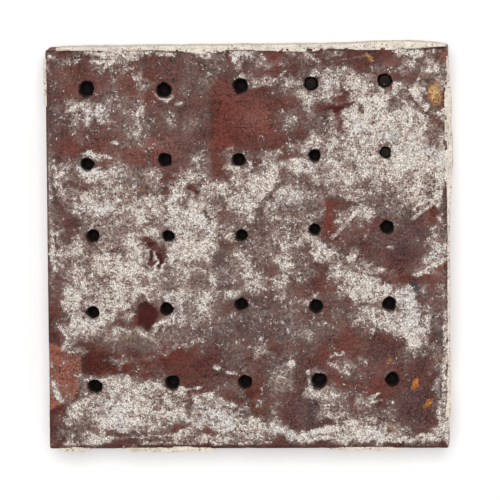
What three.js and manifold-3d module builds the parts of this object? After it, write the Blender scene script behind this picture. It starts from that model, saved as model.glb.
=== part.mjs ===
// An old plastic-clay floor tile, lying face down with its back up.
// It is a sandwich of three clay layers. The face, underneath, carries a quartered pattern of pale
// clay pieces set into the red. The back, on top, has 25 blind key holes that gripped the bedding
// mortar, and some of that mortar still clings to the back, to the holes and to the sides.
// Millimetres. +Z is up, out of the back. The origin is the centre of the face.
// North is +Y and east is +X.

import * as THREE from 'three';
import { mergeVertices } from 'three/addons/utils/BufferGeometryUtils.js';
import Module from 'manifold-3d';

// The clay slab
const TILE_SIDE = 152.4;            // the old six inches, across the face
const FACE_THICKNESS = 6;           // fine red clay that carries the pattern
const CORE_THICKNESS = 13;          // coarse clay in the middle
const BACK_THICKNESS = 6;           // fine red clay that balances the face
const SIDE_DRAFT = 0.6;             // each side leans in by this much from face to back
const CORNER_ROUND = 1.4;           // radius of the upright corners
const ARRIS_ROUND = 0.5;            // rounding along the edges of face and back
const OUT_OF_SQUARE = 0.5;          // the east side is longer than the west side by this much

// The spall along the west edge of the back
const SPALL_PLACE = -49.5;          // how far north of the middle of the edge its centre lies
const SPALL_REACH = [11, 10];       // half its size, east to west and north to south
const SPALL_DEPTH = 1.8;
const SPALL_CROWN = 0.5;            // how far the middle of its hollow curve lies above the back

// The key holes, set by a block of tapered pins that was put down by hand
const KEY_MARGIN = 20.2;            // from each side to the outer row, before the block is shifted
const KEY_SHIFT = [-2.7, 5.9];      // how far the block stood off the middle, east and north
const KEY_GRID_TURN = 1.2;          // degrees
const KEY_DEPTH = 12;
const KEY_TIP_SHARE = 0.62;         // radius near the tip, as a share of the radius at the mouth
const KEY_TIP_DEPTH = 1.1;          // depth of the rounded tip
const KEY_FLARE = 0.5;              // how much the soft lip at the mouth widens the radius
const KEY_FLARE_DEPTH = 0.8;
const KEY_SIDES = 10;
// One row of the block per line, from north to south, and west to east along it. Each pin has how
// far it stands east and north of its place in the grid, and the diameter that it left.
const KEY_PINS = [
  [[-0.3, 0.0, 5.4], [0.7, -1.1, 5.3], [1.5, -0.4, 5.0], [0.1, -0.3, 4.6], [-0.1, 0.0, 4.7]],
  [[-1.0, -0.4, 4.6], [0.5, 0.5, 4.3], [0.1, -0.1, 4.3], [0.8, 0.6, 4.1], [-0.6, 1.1, 3.8]],
  [[0.3, 0.5, 4.3], [0.8, -0.1, 3.9], [0.5, -0.8, 3.7], [0.0, 0.9, 3.8], [-0.8, 1.0, 4.5]],
  [[-0.5, -0.5, 4.1], [-0.7, 0.1, 4.2], [-0.4, 1.3, 4.1], [-0.2, -0.2, 4.4], [-0.6, -0.1, 4.6]],
  [[-0.6, -0.6, 4.8], [0.6, 0.0, 4.8], [0.3, -0.2, 4.6], [0.1, -0.5, 5.2], [-0.3, -0.7, 4.7]],
];

// The pattern of pale clay in the face, the same in all four quarters
const INLAY_DEPTH = 2.5;
const INLAY_GAP = 0.12;             // fine shrinkage line round each piece
const PATTERN_MARGIN = 5;           // plain red border along each edge of the face
const PATTERN_SPACE = 3;            // red clay left between the disc and a petal, or a petal and the ring
const DISC_RADIUS = 8.5;
const PETAL = { length: 35.5, halfWidth: 9 };
const LEAF = { length: 20, halfWidth: 5.2, space: 5.5 };      // space from the disc
const RING = { inner: 39, width: 5 };
const ROUNDEL = { radius: 5.2, lobes: 4, cut: 0.28 };
const TREFOIL = { radius: 8, lobes: 3, cut: 0.4 };
const CORNER_BAND = { inner: 33, width: 5 };
const CORNER_LEAF = { length: 19, halfWidth: 7.5, space: 10 };  // space from the tile's corner
const CURVE_STEPS = 10;             // steps along each curved side of a piece

// The mortar
const MORTAR_GAP = 0.15;            // between a side coat or a plug and the clay under it
const CRUST_THICKNESS = 0.4;        // islands left on the back
const CRUST_COLLAR = 0.7;           // bare ring that a crust leaves round a key hole's lip
const CRUST_BORDER = 1;             // bare clay between a crust and the arris
const CRUST_STEPS = 3;              // steps between two points of a crust's outline
const COAT_LAP = 0.45;              // how high a side coat's lap stands over the back
// Bare height between the face and the foot of each side coat
const COAT_FEET = { north: 1.5, east: 1.5, southWest: 9, southMiddle: 4, southEast: 2.5, west: 5 };

const THICKNESS = FACE_THICKNESS + CORE_THICKNESS + BACK_THICKNESS;
const HALF = TILE_SIDE / 2;
const CORE_LEVEL = FACE_THICKNESS;
const BACK_LEVEL = FACE_THICKNESS + CORE_THICKNESS;
const OVERRUN = 5;                  // how far a cutter runs on past the clay
const QUARTERS = ['north', 'east', 'south', 'west'];
const DIAGONALS = ['north_east', 'south_east', 'south_west', 'north_west'];

// Materials

const RED_CLAY = new THREE.MeshStandardMaterial({ color: 0x74443b, roughness: 0.85, metalness: 0 });
const COARSE_CLAY = new THREE.MeshStandardMaterial({ color: 0x7d4c3a, roughness: 0.95, metalness: 0 });
const FACE_CLAY = new THREE.MeshStandardMaterial({ color: 0x83412f, roughness: 0.6, metalness: 0 });
const BUFF_CLAY = new THREE.MeshStandardMaterial({ color: 0xd2b586, roughness: 0.6, metalness: 0 });
const LIME = new THREE.MeshStandardMaterial({ color: 0xd9d0c3, roughness: 0.95, metalness: 0 });

// Solids, for cutting and joining

const wasm = await Module();
wasm.setup();

function solidOf(geometry) {
  const bare = geometry.clone();
  bare.deleteAttribute('normal');
  bare.deleteAttribute('uv');
  const merged = mergeVertices(bare, 1e-4);
  return new wasm.Manifold(new wasm.Mesh({
    numProp: 3,
    vertProperties: new Float32Array(merged.attributes.position.array),
    triVerts: new Uint32Array(merged.index.array),
  }));
}

function geometryOf(solid) {
  const cut = solid.getMesh();
  const geometry = new THREE.BufferGeometry();
  geometry.setAttribute('position', new THREE.BufferAttribute(cut.vertProperties, 3));
  geometry.setIndex(new THREE.BufferAttribute(cut.triVerts, 1));
  geometry.computeVertexNormals();
  return geometry;
}

function piece(name, geometry, material) {
  const mesh = new THREE.Mesh(geometry, material);
  mesh.name = name;
  return mesh;
}

// Outlines, as counterclockwise lists of points

const at = (x, y) => new THREE.Vector2(x, y);

// The outline moved outwards by the same distance all round, or inwards if that is negative
function grown(outline, distance) {
  return outline.map((point, i) => {
    const before = outline.at(i - 1);
    const after = outline[(i + 1) % outline.length];
    const arriving = point.clone().sub(before).normalize();
    const leaving = after.clone().sub(point).normalize();
    const outward = at(arriving.y + leaving.y, -arriving.x - leaving.x).normalize();
    const lean = Math.max(outward.dot(at(arriving.y, -arriving.x)), 0.4);
    return point.clone().addScaledVector(outward, distance / lean);
  });
}

const turned = (outline, degrees) => outline.map(
  (point) => point.clone().rotateAround(at(0, 0), THREE.MathUtils.degToRad(degrees)));

const moved = (outline, x, y) => outline.map((point) => at(point.x + x, point.y + y));

// A closed smooth curve through hand-chosen points
function smoothed(points, stepsEach) {
  const curve = new THREE.CatmullRomCurve3(points.map(({ x, y }) => new THREE.Vector3(x, y, 0)), true);
  const along = curve.getPoints(points.length * stepsEach).slice(0, -1).map((p) => at(p.x, p.y));
  return THREE.ShapeUtils.area(along) > 0 ? along : along.reverse();
}

// An outline drawn upwards from one level to another
function upright(outline, low, high) {
  const shape = new THREE.Shape(outline);
  const drawn = new THREE.ExtrudeGeometry(shape, { depth: high - low, bevelEnabled: false });
  return drawn.translate(0, 0, low);
}

// The clay slab, with its leaning sides, its soft arrises and its slight error of squareness.
// Given a distance, it is a little larger all round, which is the room that a side coat leaves.

function slab(distance = 0) {
  const half = HALF + distance;
  const height = THICKNESS + distance;
  const straight = half - CORNER_ROUND;
  const shape = new THREE.Shape();
  shape.absarc(straight, straight, CORNER_ROUND, 0, Math.PI / 2);
  shape.absarc(-straight, straight, CORNER_ROUND, Math.PI / 2, Math.PI);
  shape.absarc(-straight, -straight, CORNER_ROUND, Math.PI, 1.5 * Math.PI);
  shape.absarc(straight, -straight, CORNER_ROUND, 1.5 * Math.PI, 2 * Math.PI);
  const geometry = new THREE.ExtrudeGeometry(shape, {
    depth: height - 2 * ARRIS_ROUND,
    curveSegments: 5,
    bevelThickness: ARRIS_ROUND,
    bevelSize: ARRIS_ROUND,
    bevelOffset: -ARRIS_ROUND,
    bevelSegments: 2,
  }).translate(0, 0, ARRIS_ROUND);
  const places = geometry.attributes.position;
  for (let i = 0; i < places.count; i += 1) {
    const x = places.getX(i);
    const y = places.getY(i);
    const drawnIn = 1 - (SIDE_DRAFT * places.getZ(i)) / (THICKNESS * HALF);
    const stretch = 1 + (OUT_OF_SQUARE / 2) * (x / HALF) / TILE_SIDE;
    places.setXY(i, x * drawnIn, y * drawnIn * stretch);
  }
  return solidOf(geometry);
}

// The part of a solid that lies between two levels
function between(solid, low, high) {
  const wide = TILE_SIDE + 2 * OVERRUN;
  const box = new THREE.BoxGeometry(wide, wide, high - low).translate(0, 0, (low + high) / 2);
  return solid.intersect(solidOf(box));
}

// Key holes

// A place in the key grid, given in steps of its pitch to the east and north of its middle
const middleKey = (KEY_PINS.length - 1) / 2;
function inKeyGrid(east, north) {
  const pitch = (HALF - KEY_MARGIN) / middleKey;
  return at(east * pitch, north * pitch)
    .rotateAround(at(0, 0), THREE.MathUtils.degToRad(KEY_GRID_TURN))
    .add(at(...KEY_SHIFT));
}

// Every pin of the block, with its place and its radius at the mouth
function keyPins() {
  return KEY_PINS.flatMap((row, rowNumber) => row.map(([east, north, diameter], columnNumber) => {
    const place = inKeyGrid(columnNumber - middleKey, middleKey - rowNumber).add(at(east, north));
    return { place, radius: diameter / 2, row: rowNumber, column: columnNumber };
  }));
}

// The shape that a pin leaves: a rounded tip, a slow taper and a soft lip at the back.
// A negative distance gives the smaller shape of a plug that sits in the hole.
function keyShape(pin, distance = 0) {
  const tipRadius = pin.radius * KEY_TIP_SHARE + distance;
  const bottom = THICKNESS - KEY_DEPTH;
  const profile = [
    at(0, bottom),
    at(tipRadius * 0.6, bottom + KEY_TIP_DEPTH * 0.25),
    at(tipRadius, bottom + KEY_TIP_DEPTH),
    at(pin.radius + distance, THICKNESS - KEY_FLARE_DEPTH),
    at(pin.radius + KEY_FLARE + distance, THICKNESS),
    at(pin.radius + KEY_FLARE + distance, THICKNESS + OVERRUN),
    at(0, THICKNESS + OVERRUN),
  ];
  const turnedShape = new THREE.LatheGeometry(profile, KEY_SIDES).rotateX(Math.PI / 2);
  return solidOf(turnedShape.translate(pin.place.x, pin.place.y, 0));
}

// The three layers

const pins = keyPins();
const keys = pins.map((pin) => keyShape(pin));
const wholeSlab = slab();

function cutBy(solid, cutters) {
  return cutters.reduce((left, cutter) => left.subtract(cutter), solid);
}

// The hollow that a flake left when it broke off the west edge of the back
function spall() {
  const rise = SPALL_DEPTH + SPALL_CROWN;
  const geometry = new THREE.SphereGeometry(1, 14, 10).scale(SPALL_REACH[0], SPALL_REACH[1], rise)
    .translate(SIDE_DRAFT - HALF, SPALL_PLACE, THICKNESS + SPALL_CROWN);
  return solidOf(geometry);
}

const backLayer = cutBy(between(wholeSlab, BACK_LEVEL, THICKNESS + OVERRUN), [...keys, spall()]);
const coreLayer = cutBy(between(wholeSlab, CORE_LEVEL, BACK_LEVEL), keys);

// The pattern's outlines, each drawn once for the north or the north-east quarter

function disc(radius) {
  const steps = 2 * CURVE_STEPS;
  const step = (2 * Math.PI) / steps;
  return Array.from({ length: steps }, (_, i) => at(radius, 0).rotateAround(at(0, 0), i * step));
}

// A pointed oval that lies along north and starts at a distance from the middle
function pointedOval({ length, halfWidth }, start) {
  const side = (sign, share) => at(sign * halfWidth * Math.sin(Math.PI * share), start + length * share);
  const east = Array.from({ length: CURVE_STEPS }, (_, i) => side(1, i / CURVE_STEPS));
  const west = Array.from({ length: CURVE_STEPS }, (_, i) => side(-1, 1 - i / CURVE_STEPS));
  return [...east, ...west];
}

// A round shape with cusped lobes, the first of them to the north
function lobed({ radius, lobes, cut }) {
  const steps = 3 * CURVE_STEPS;
  return Array.from({ length: steps }, (_, i) => {
    const angle = (2 * Math.PI * i) / steps;
    const cusp = 1 - Math.abs(Math.cos((lobes * angle) / 2));
    const reach = radius * (1 - cut * cusp);
    return at(0, reach).rotateAround(at(0, 0), angle);
  });
}

// A curved band between two radii and two angles in degrees
function band(inner, outer, from, to) {
  const angle = (i) => THREE.MathUtils.degToRad(from + ((to - from) * i) / CURVE_STEPS);
  const steps = Array.from({ length: CURVE_STEPS + 1 }, (_, i) => i);
  const outside = steps.map((i) => at(outer, 0).rotateAround(at(0, 0), angle(i)));
  const inside = steps.map((i) => at(inner, 0).rotateAround(at(0, 0), angle(CURVE_STEPS - i)));
  return [...outside, ...inside];
}

const northEast = (outline) => turned(outline, -45);
const ringOuter = RING.inner + RING.width;
const bandOuter = CORNER_BAND.inner + CORNER_BAND.width;
const petalStart = DISC_RADIUS + PATTERN_SPACE;

// A quarter of the ring, which stops short of the petals that pass through it
function ringQuarter() {
  const share = (RING.inner - petalStart) / PETAL.length;
  const petalThere = PETAL.halfWidth * Math.max(Math.sin(Math.PI * Math.min(share, 1)), 0);
  const short = THREE.MathUtils.radToDeg(Math.asin((petalThere + PATTERN_SPACE) / RING.inner));
  return band(RING.inner, ringOuter, short, 90 - short);
}

// A roundel half way between the ring and the corner band
function roundel() {
  const cornerReach = Math.hypot(HALF, HALF);
  return northEast(moved(lobed(ROUNDEL), 0, (ringOuter + cornerReach - bandOuter) / 2));
}

// A trefoil half way between the ring and the plain border
function trefoil() {
  return moved(lobed(TREFOIL), 0, (ringOuter + HALF - PATTERN_MARGIN) / 2);
}

// A band round the tile's north-east corner, cut short of the plain border at both ends
function cornerBand() {
  const short = THREE.MathUtils.radToDeg(Math.asin(PATTERN_MARGIN / CORNER_BAND.inner));
  return moved(band(CORNER_BAND.inner, bandOuter, 180 + short, 270 - short), HALF, HALF);
}

// A leaf that points out of the tile's north-east corner towards the middle
function cornerLeaf() {
  return moved(turned(pointedOval(CORNER_LEAF, CORNER_LEAF.space), 135), HALF, HALF);
}

const PATTERN = [
  { name: 'petal', names: QUARTERS, outline: pointedOval(PETAL, petalStart) },
  { name: 'leaf', names: DIAGONALS, outline: northEast(pointedOval(LEAF, DISC_RADIUS + LEAF.space)) },
  { name: 'ring', names: DIAGONALS, outline: ringQuarter() },
  { name: 'roundel', names: DIAGONALS, outline: roundel() },
  { name: 'trefoil', names: QUARTERS, outline: trefoil() },
  { name: 'corner_band', names: DIAGONALS, outline: cornerBand() },
  { name: 'corner_leaf', names: DIAGONALS, outline: cornerLeaf() },
];

const inlays = [
  { name: 'inlay_centre_disc', outline: disc(DISC_RADIUS) },
  ...PATTERN.flatMap(({ name, names, outline }) => names.map((quarter, i) => (
    { name: `inlay_${name}_${quarter}`, outline: turned(outline, -90 * i) }))),
];

const recesses = inlays.map(
  ({ outline }) => solidOf(upright(grown(outline, INLAY_GAP), -OVERRUN, INLAY_DEPTH)));
const faceLayer = cutBy(between(wholeSlab, -OVERRUN, CORE_LEVEL), recesses);

// Mortar on the sides. Each coat is drawn in plan, first along the line where it laps onto the back
// and then along its outer line. A point has its place along the side, clockwise from the middle as
// a share of half the side, and how far it stands out from the face's edge. Whatever would lie in
// the clay is taken away.

const COATS = [
  {
    name: 'mortar_north_side',
    side: 'north',
    low: COAT_FEET.north,
    plan: [[-0.94, -1.1], [-0.82, -1.2], [-0.67, -1.7], [-0.52, -1.2], [-0.33, -1.6], [-0.2, -3],
      [-0.1, -1.6], [0.05, -1.6], [0.27, -2.2], [0.46, -1.3], [0.66, -1.7], [0.81, -1.3],
      [0.98, -0.4], [0.99, 0.4], [0.93, 1.1], [0.79, 1.8], [0.63, 1.6], [0.48, 1],
      [0.18, 0.9], [-0.32, 0.7], [-0.72, 0.6], [-0.94, 0.4]],
  },
  {
    name: 'mortar_east_side',
    side: 'east',
    low: COAT_FEET.east,
    plan: [[-0.95, -1.4], [-0.81, -1.6], [-0.73, -2.2], [-0.63, -2], [-0.49, -1.8], [-0.36, -2],
      [-0.24, -1.3], [0.11, -1.2], [0.48, -1.4], [0.65, -1.7], [0.88, -2], [0.89, -0.3],
      [0.82, 0.2], [0.64, 0.4], [0.48, 0.15], [-0.04, 0.15], [-0.22, 0.25], [-0.32, 0.8],
      [-0.41, 1.3], [-0.55, 1.2], [-0.62, 0.7], [-0.71, 1.1], [-0.76, 0.8], [-0.83, 0.25],
      [-0.95, 0.1]],
  },
  {
    name: 'mortar_south_side_west',
    side: 'south',
    low: COAT_FEET.southWest,
    plan: [[0.95, -1], [0.94, 0.5], [0.87, 0.8], [0.8, 0.4], [0.79, -1.2], [0.87, -1.6]],
  },
  {
    name: 'mortar_south_side_middle',
    side: 'south',
    low: COAT_FEET.southMiddle,
    plan: [[0.62, -1], [0.6, 0.8], [0.47, 0.8], [0.29, 0.6], [0.17, 0.2], [0.16, -0.9],
      [0.32, -1.6], [0.5, -1.3]],
  },
  {
    name: 'mortar_south_side_east',
    side: 'south',
    low: COAT_FEET.southEast,
    plan: [[-0.39, -0.9], [-0.41, 0.3], [-0.6, 0.5], [-0.76, 0.3], [-0.77, -0.9], [-0.59, -1.3]],
  },
  {
    name: 'mortar_west_side',
    side: 'west',
    low: COAT_FEET.west,
    plan: [[0.95, -1.1], [0.94, 0.2], [0.87, 0.4], [0.72, 0.2], [0.71, -1.1], [0.83, -1.4]],
  },
];

const roomForClay = slab(MORTAR_GAP);

// The largest of the separate bodies that a cut leaves
function largestOf(solid) {
  return solid.decompose().reduce((best, one) => (one.volume() > best.volume() ? one : best));
}

function coat({ name, side, low, plan }) {
  const onNorth = plan.map(([share, out]) => at(share * HALF, HALF + out));
  const outline = turned(onNorth, -90 * QUARTERS.indexOf(side));
  const ordered = THREE.ShapeUtils.area(outline) > 0 ? outline : outline.reverse();
  const drawn = solidOf(upright(ordered, low, THICKNESS + COAT_LAP));
  return piece(name, geometryOf(largestOf(drawn.subtract(roomForClay))), LIME);
}

// Mortar islands on the back, each a thin crust that breaks off short of the key holes. An outline's
// points are places in the key grid, in steps of its pitch.

const CRUSTS = [
  {
    name: 'mortar_crust_north_west',
    points: [[-2.38, 1.73], [-2.29, 1.87], [-2.05, 1.91], [-1.83, 1.84], [-1.75, 1.69], [-1.84, 1.53],
      [-2.06, 1.46], [-2.3, 1.54]],
  },
  {
    name: 'mortar_crust_west_band',
    points: [[-2.47, 0.52], [-2.22, 0.68], [-1.81, 0.72], [-1.47, 0.63], [-1.06, 0.7], [-0.58, 0.61],
      [-0.34, 0.38], [-0.38, -0.02], [-0.61, -0.31], [-0.96, -0.41], [-1.36, -0.35], [-1.65, -0.12],
      [-1.99, 0.18], [-2.34, 0.22]],
  },
  {
    name: 'mortar_crust_west',
    points: [[-2.47, -0.51], [-2.2, -0.36], [-1.85, -0.39], [-1.45, -0.52], [-1.13, -0.66],
      [-1.24, -0.92], [-1.6, -1.07], [-1.98, -1.31], [-2.31, -1.35], [-2.49, -1.08]],
  },
  {
    name: 'mortar_crust_north_east',
    points: [[0.85, 1.78], [1.15, 1.95], [1.55, 1.86], [2.06, 1.8], [2.56, 1.68], [2.72, 1.3],
      [2.67, 0.76], [2.3, 0.61], [1.95, 0.73], [1.52, 0.6], [1.17, 0.69], [0.92, 1.1]],
  },
  {
    name: 'mortar_crust_middle',
    points: [[0.88, -0.19], [1.21, -0.04], [1.5, -0.21], [1.92, -0.43], [2.02, -0.73], [1.67, -0.87],
      [1.35, -0.82], [1.03, -0.6]],
  },
  {
    name: 'mortar_crust_south_east',
    points: [[1.83, -0.98], [2.14, -0.8], [2.48, -0.79], [2.63, -1.07], [2.59, -1.5], [2.37, -1.66],
      [2.05, -1.62], [1.84, -1.37]],
  },
  {
    name: 'mortar_crust_south_west',
    points: [[-2.35, -2.41], [-2.1, -2.2], [-1.71, -2.13], [-1.34, -2.19], [-1.15, -2.38],
      [-1.27, -2.6], [-1.68, -2.67], [-2.08, -2.64]],
  },
  {
    name: 'mortar_crust_south',
    points: [[0.06, -2.63], [0.3, -2.39], [0.24, -2.04], [0.43, -1.8], [0.75, -1.89], [0.82, -2.24],
      [1.14, -2.6], [1.7, -2.7], [1.64, -2.83], [0.86, -2.84], [0.21, -2.83]],
  },
];

const flatOfBack = 2 * (HALF - SIDE_DRAFT - ARRIS_ROUND - CRUST_BORDER);
const roomForCrusts = solidOf(new THREE.BoxGeometry(flatOfBack, flatOfBack, 3 * THICKNESS));

function crust({ name, points }) {
  const outline = smoothed(points.map((place) => inKeyGrid(...place)), CRUST_STEPS);
  const whole = solidOf(upright(outline, THICKNESS, THICKNESS + CRUST_THICKNESS));
  const collars = pins.map(({ place, radius }) => {
    const collarRadius = radius + KEY_FLARE + CRUST_COLLAR;
    const cylinder = new THREE.CylinderGeometry(collarRadius, collarRadius, 2 * OVERRUN, KEY_SIDES);
    return solidOf(cylinder.rotateX(Math.PI / 2).translate(place.x, place.y, THICKNESS));
  });
  return piece(name, geometryOf(largestOf(cutBy(whole.intersect(roomForCrusts), collars))), LIME);
}

// Mortar still wedged in three of the key holes, each plug from one depth to another

const PLUGS = [
  { name: 'mortar_plug_north_east', row: 0, column: 4, from: 4.4, to: 1.6 },
  { name: 'mortar_plug_north', row: 0, column: 3, from: 5.2, to: 2.4 },
  { name: 'mortar_plug_east', row: 1, column: 4, from: 4.6, to: 1.2 },
];

function plug({ name, row, column, from, to }) {
  const pin = pins.find((one) => one.row === row && one.column === column);
  const solid = between(keyShape(pin, -MORTAR_GAP), THICKNESS - from, THICKNESS - to);
  return piece(name, geometryOf(solid), LIME);
}

// The tile

const tile = new THREE.Group();
tile.name = 'encaustic_tile';

const clay = new THREE.Group();
clay.add(
  piece('face_layer', geometryOf(faceLayer), FACE_CLAY),
  piece('core_layer', geometryOf(coreLayer), COARSE_CLAY),
  piece('back_layer', geometryOf(backLayer), RED_CLAY),
);

const pattern = new THREE.Group();
pattern.add(...inlays.map(({ name, outline }) => piece(name, upright(outline, 0, INLAY_DEPTH), BUFF_CLAY)));

const mortar = new THREE.Group();
mortar.add(...COATS.map(coat), ...CRUSTS.map(crust), ...PLUGS.map(plug));

tile.add(clay, pattern, mortar);

export default tile;
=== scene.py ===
# An old floor tile of layered clay with a pale inlaid pattern, lying face down with its back up.
# Metres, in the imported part's frame: +Z is up, out of the back. North is +Y and east is +X.

import math

import bmesh
import bpy
import numpy as np
from mathutils import Matrix, Vector, noise
from mathutils.bvhtree import BVHTree


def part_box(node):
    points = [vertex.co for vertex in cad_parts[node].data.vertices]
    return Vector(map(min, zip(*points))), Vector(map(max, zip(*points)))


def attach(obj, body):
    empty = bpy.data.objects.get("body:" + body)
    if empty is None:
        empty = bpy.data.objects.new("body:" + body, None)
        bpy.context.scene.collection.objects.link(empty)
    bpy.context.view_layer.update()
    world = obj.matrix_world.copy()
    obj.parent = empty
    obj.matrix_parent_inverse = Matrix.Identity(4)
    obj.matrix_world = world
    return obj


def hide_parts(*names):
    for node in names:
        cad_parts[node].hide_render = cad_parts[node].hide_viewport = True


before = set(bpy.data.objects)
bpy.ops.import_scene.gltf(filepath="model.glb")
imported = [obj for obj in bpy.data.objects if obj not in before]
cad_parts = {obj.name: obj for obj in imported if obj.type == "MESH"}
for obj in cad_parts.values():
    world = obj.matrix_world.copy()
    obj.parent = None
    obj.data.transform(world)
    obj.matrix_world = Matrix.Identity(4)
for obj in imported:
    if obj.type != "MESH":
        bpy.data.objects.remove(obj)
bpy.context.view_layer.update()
MM = 0.001
SAME_PLACE = 0.001 * MM           # corners nearer than this are one corner

# The camera
# It looks down on the back from far off and leans a little to the north and the east, so that the
# mortar on the north side shows as a narrow band. The picture is square.

BACK_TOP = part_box("back_layer")[1].z
LEAN_NORTH = math.radians(4.6)
LEAN_EAST = math.radians(2)
ROLL = math.radians(-0.45)
CAMERA_DISTANCE = 1500 * MM
CAMERA_LENS = 286.8
PICTURE_CENTRE = Vector((0.92 * MM, -0.27 * MM, BACK_TOP))

towards_camera = Vector((math.sin(LEAN_EAST), math.sin(LEAN_NORTH), 0))
towards_camera.z = math.sqrt(1 - towards_camera.length_squared)
picture_north = Vector((-math.sin(ROLL), math.cos(ROLL), 0))
picture_right = picture_north.cross(towards_camera).normalized()
picture_up = towards_camera.cross(picture_right)
camera_turn = Matrix((picture_right, picture_up, towards_camera)).transposed().to_4x4()

camera = bpy.data.objects.new("camera", bpy.data.cameras.new("camera"))
camera.data.lens = CAMERA_LENS
camera.data.sensor_width = 36
camera.matrix_world = Matrix.Translation(PICTURE_CENTRE + CAMERA_DISTANCE * towards_camera) @ camera_turn
bpy.context.scene.collection.objects.link(camera)
bpy.context.scene.camera = camera
bpy.context.scene.view_settings.view_transform = "Standard"

# The studio
# A white tabletop in a pale room, under one soft light that hangs overhead, a little to the north.
# The tabletop and the room look white to the camera and keep the tile's shadow.

ROOM_STRENGTH = 0.45
LIGHT_POWER = 22.0
LIGHT_SIDE = 750 * MM
LIGHT_PLACE = Vector((40, 360, 2000)) * MM
FLOOR_HALF = 4
FLOOR_LEVEL = -0.05 * MM
FLOOR_COLOUR = (0.86, 0.86, 0.86, 1)
FLOOR_GLOW = 0.27


def set_inputs(tree, made, inputs):
    """Gives a node its inputs, each of them a value or another node's output."""
    for name, value in inputs.items():
        if isinstance(value, bpy.types.NodeSocket):
            tree.links.new(value, made.inputs[name])
        else:
            made.inputs[name].default_value = value


def shader_node(tree, kind, inputs=None, **settings):
    """Adds a node to a tree, with its settings and its inputs."""
    made = tree.nodes.new("ShaderNode" + kind)
    for name, value in settings.items():
        setattr(made, name, value)
    set_inputs(tree, made, inputs or {})
    return made


def maths(tree, operation, first, second=0.0):
    """One step of arithmetic on two values."""
    return shader_node(tree, "Math", {0: first, 1: second}, operation=operation).outputs[0]


def times(tree, first, second):
    """One value times another."""
    return maths(tree, "MULTIPLY", first, second)


world = bpy.data.worlds.new("pale_room")
bpy.context.scene.world = world
world.use_nodes = True
tree = world.node_tree
tree.nodes.clear()
rays = shader_node(tree, "LightPath").outputs
seen = maths(tree, "MAXIMUM", rays["Is Camera Ray"], rays["Is Glossy Ray"])
seen = maths(tree, "MAXIMUM", seen, rays["Is Transmission Ray"])
lighting = shader_node(tree, "Background", {"Color": (1, 1, 1, 1), "Strength": ROOM_STRENGTH})
backdrop = shader_node(tree, "Background", {"Color": (1, 1, 1, 1), "Strength": 1.0})
room = shader_node(tree, "MixShader", {0: seen, 1: lighting.outputs[0], 2: backdrop.outputs[0]})
shader_node(tree, "OutputWorld", {"Surface": room.outputs[0]})

lamp = bpy.data.objects.new("soft_light", bpy.data.lights.new("soft_light", "AREA"))
lamp.data.energy = LIGHT_POWER
lamp.data.size = LIGHT_SIDE
lamp.location = LIGHT_PLACE
lamp.rotation_euler = LIGHT_PLACE.to_track_quat("Z", "Y").to_euler()
bpy.context.scene.collection.objects.link(lamp)

floor_shape = bmesh.new()
bmesh.ops.create_grid(floor_shape, x_segments=1, y_segments=1, size=FLOOR_HALF)
bmesh.ops.translate(floor_shape, vec=(0, 0, FLOOR_LEVEL), verts=floor_shape.verts)
floor_mesh = bpy.data.meshes.new("tabletop")
floor_shape.to_mesh(floor_mesh)
floor = bpy.data.objects.new("tabletop", floor_mesh)
bpy.context.scene.collection.objects.link(floor)

floor_paint = bpy.data.materials.new("white_tabletop")
floor_paint.use_nodes = True
tree = floor_paint.node_tree
tree.nodes.clear()
rays = shader_node(tree, "LightPath").outputs
glow = times(tree, rays["Is Camera Ray"], FLOOR_GLOW)
matt = shader_node(tree, "BsdfDiffuse", {"Color": FLOOR_COLOUR})
lift = shader_node(tree, "Emission", {"Color": (1, 1, 1, 1), "Strength": glow})
both = shader_node(tree, "AddShader", {0: matt.outputs[0], 1: lift.outputs[0]})
shader_node(tree, "OutputMaterial", {"Surface": both.outputs[0]})
floor_mesh.materials.append(floor_paint)

# The face layer
# Fine red clay, pressed first and deepest in the mould, with a recess for every piece of the pattern.
# Its underside is the worn walking surface, and its sides were cut with a wire.

FACE_LOW, FACE_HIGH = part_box("face_layer")
BACK_LOW, BACK_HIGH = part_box("back_layer")
SKIN = 0.02 * MM                  # the dressed clay stays this far inside the packed clay
CORNER_ROUND = 0.9 * MM
ARRIS_ROUND = 0.5 * MM
OUT_OF_SQUARE = 0.5 * MM
WALL_STEP = 0.62 * MM
WALL_CUTS = 230
RECESS_GAP = 0.12 * MM
CRISP_ANGLE = math.radians(40)
ARRIS_REACH = 1.1 * MM            # how far from an arris its chips reach
CHIP_SIZE = 5 * MM
WEAR_SIZE = 6 * MM
DRAG_SIZE = 1.6 * MM              # height of the marks that were dragged along the sides
DRAG_STRETCH = (0.25, 0.25, 1)
WORN_WITHIN = 2 * MM              # how far in from the sides the clay is worn at all


def half_width(level):
    """Half the width of the clay at a level, as the sides lean in from the face to the back."""
    share = (level - FACE_LOW.z) / (BACK_LOW.z - FACE_LOW.z)
    return FACE_HIGH.x + (BACK_HIGH.x - FACE_HIGH.x) * share - SKIN


def wall_rings(top, bottom):
    """Rings of (half width, level) down the sides of a layer, close enough together to be worn."""
    levels = np.linspace(top, bottom, round((top - bottom) / WALL_STEP) + 1)
    return [(half_width(level), level) for level in levels]


def rounded_rings(level, upwards):
    """Rings round an arris of the slab, from the flat of the face or the back out to the side."""
    inside = -1 if upwards else 1
    turns = [math.radians(angle) for angle in (0, 22.5, 45, 67.5, 90)]
    return [
        (half_width(level) - ARRIS_ROUND * (1 - math.sin(turn)),
         level + inside * ARRIS_ROUND * (1 - math.cos(turn)))
        for turn in turns
    ]


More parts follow.
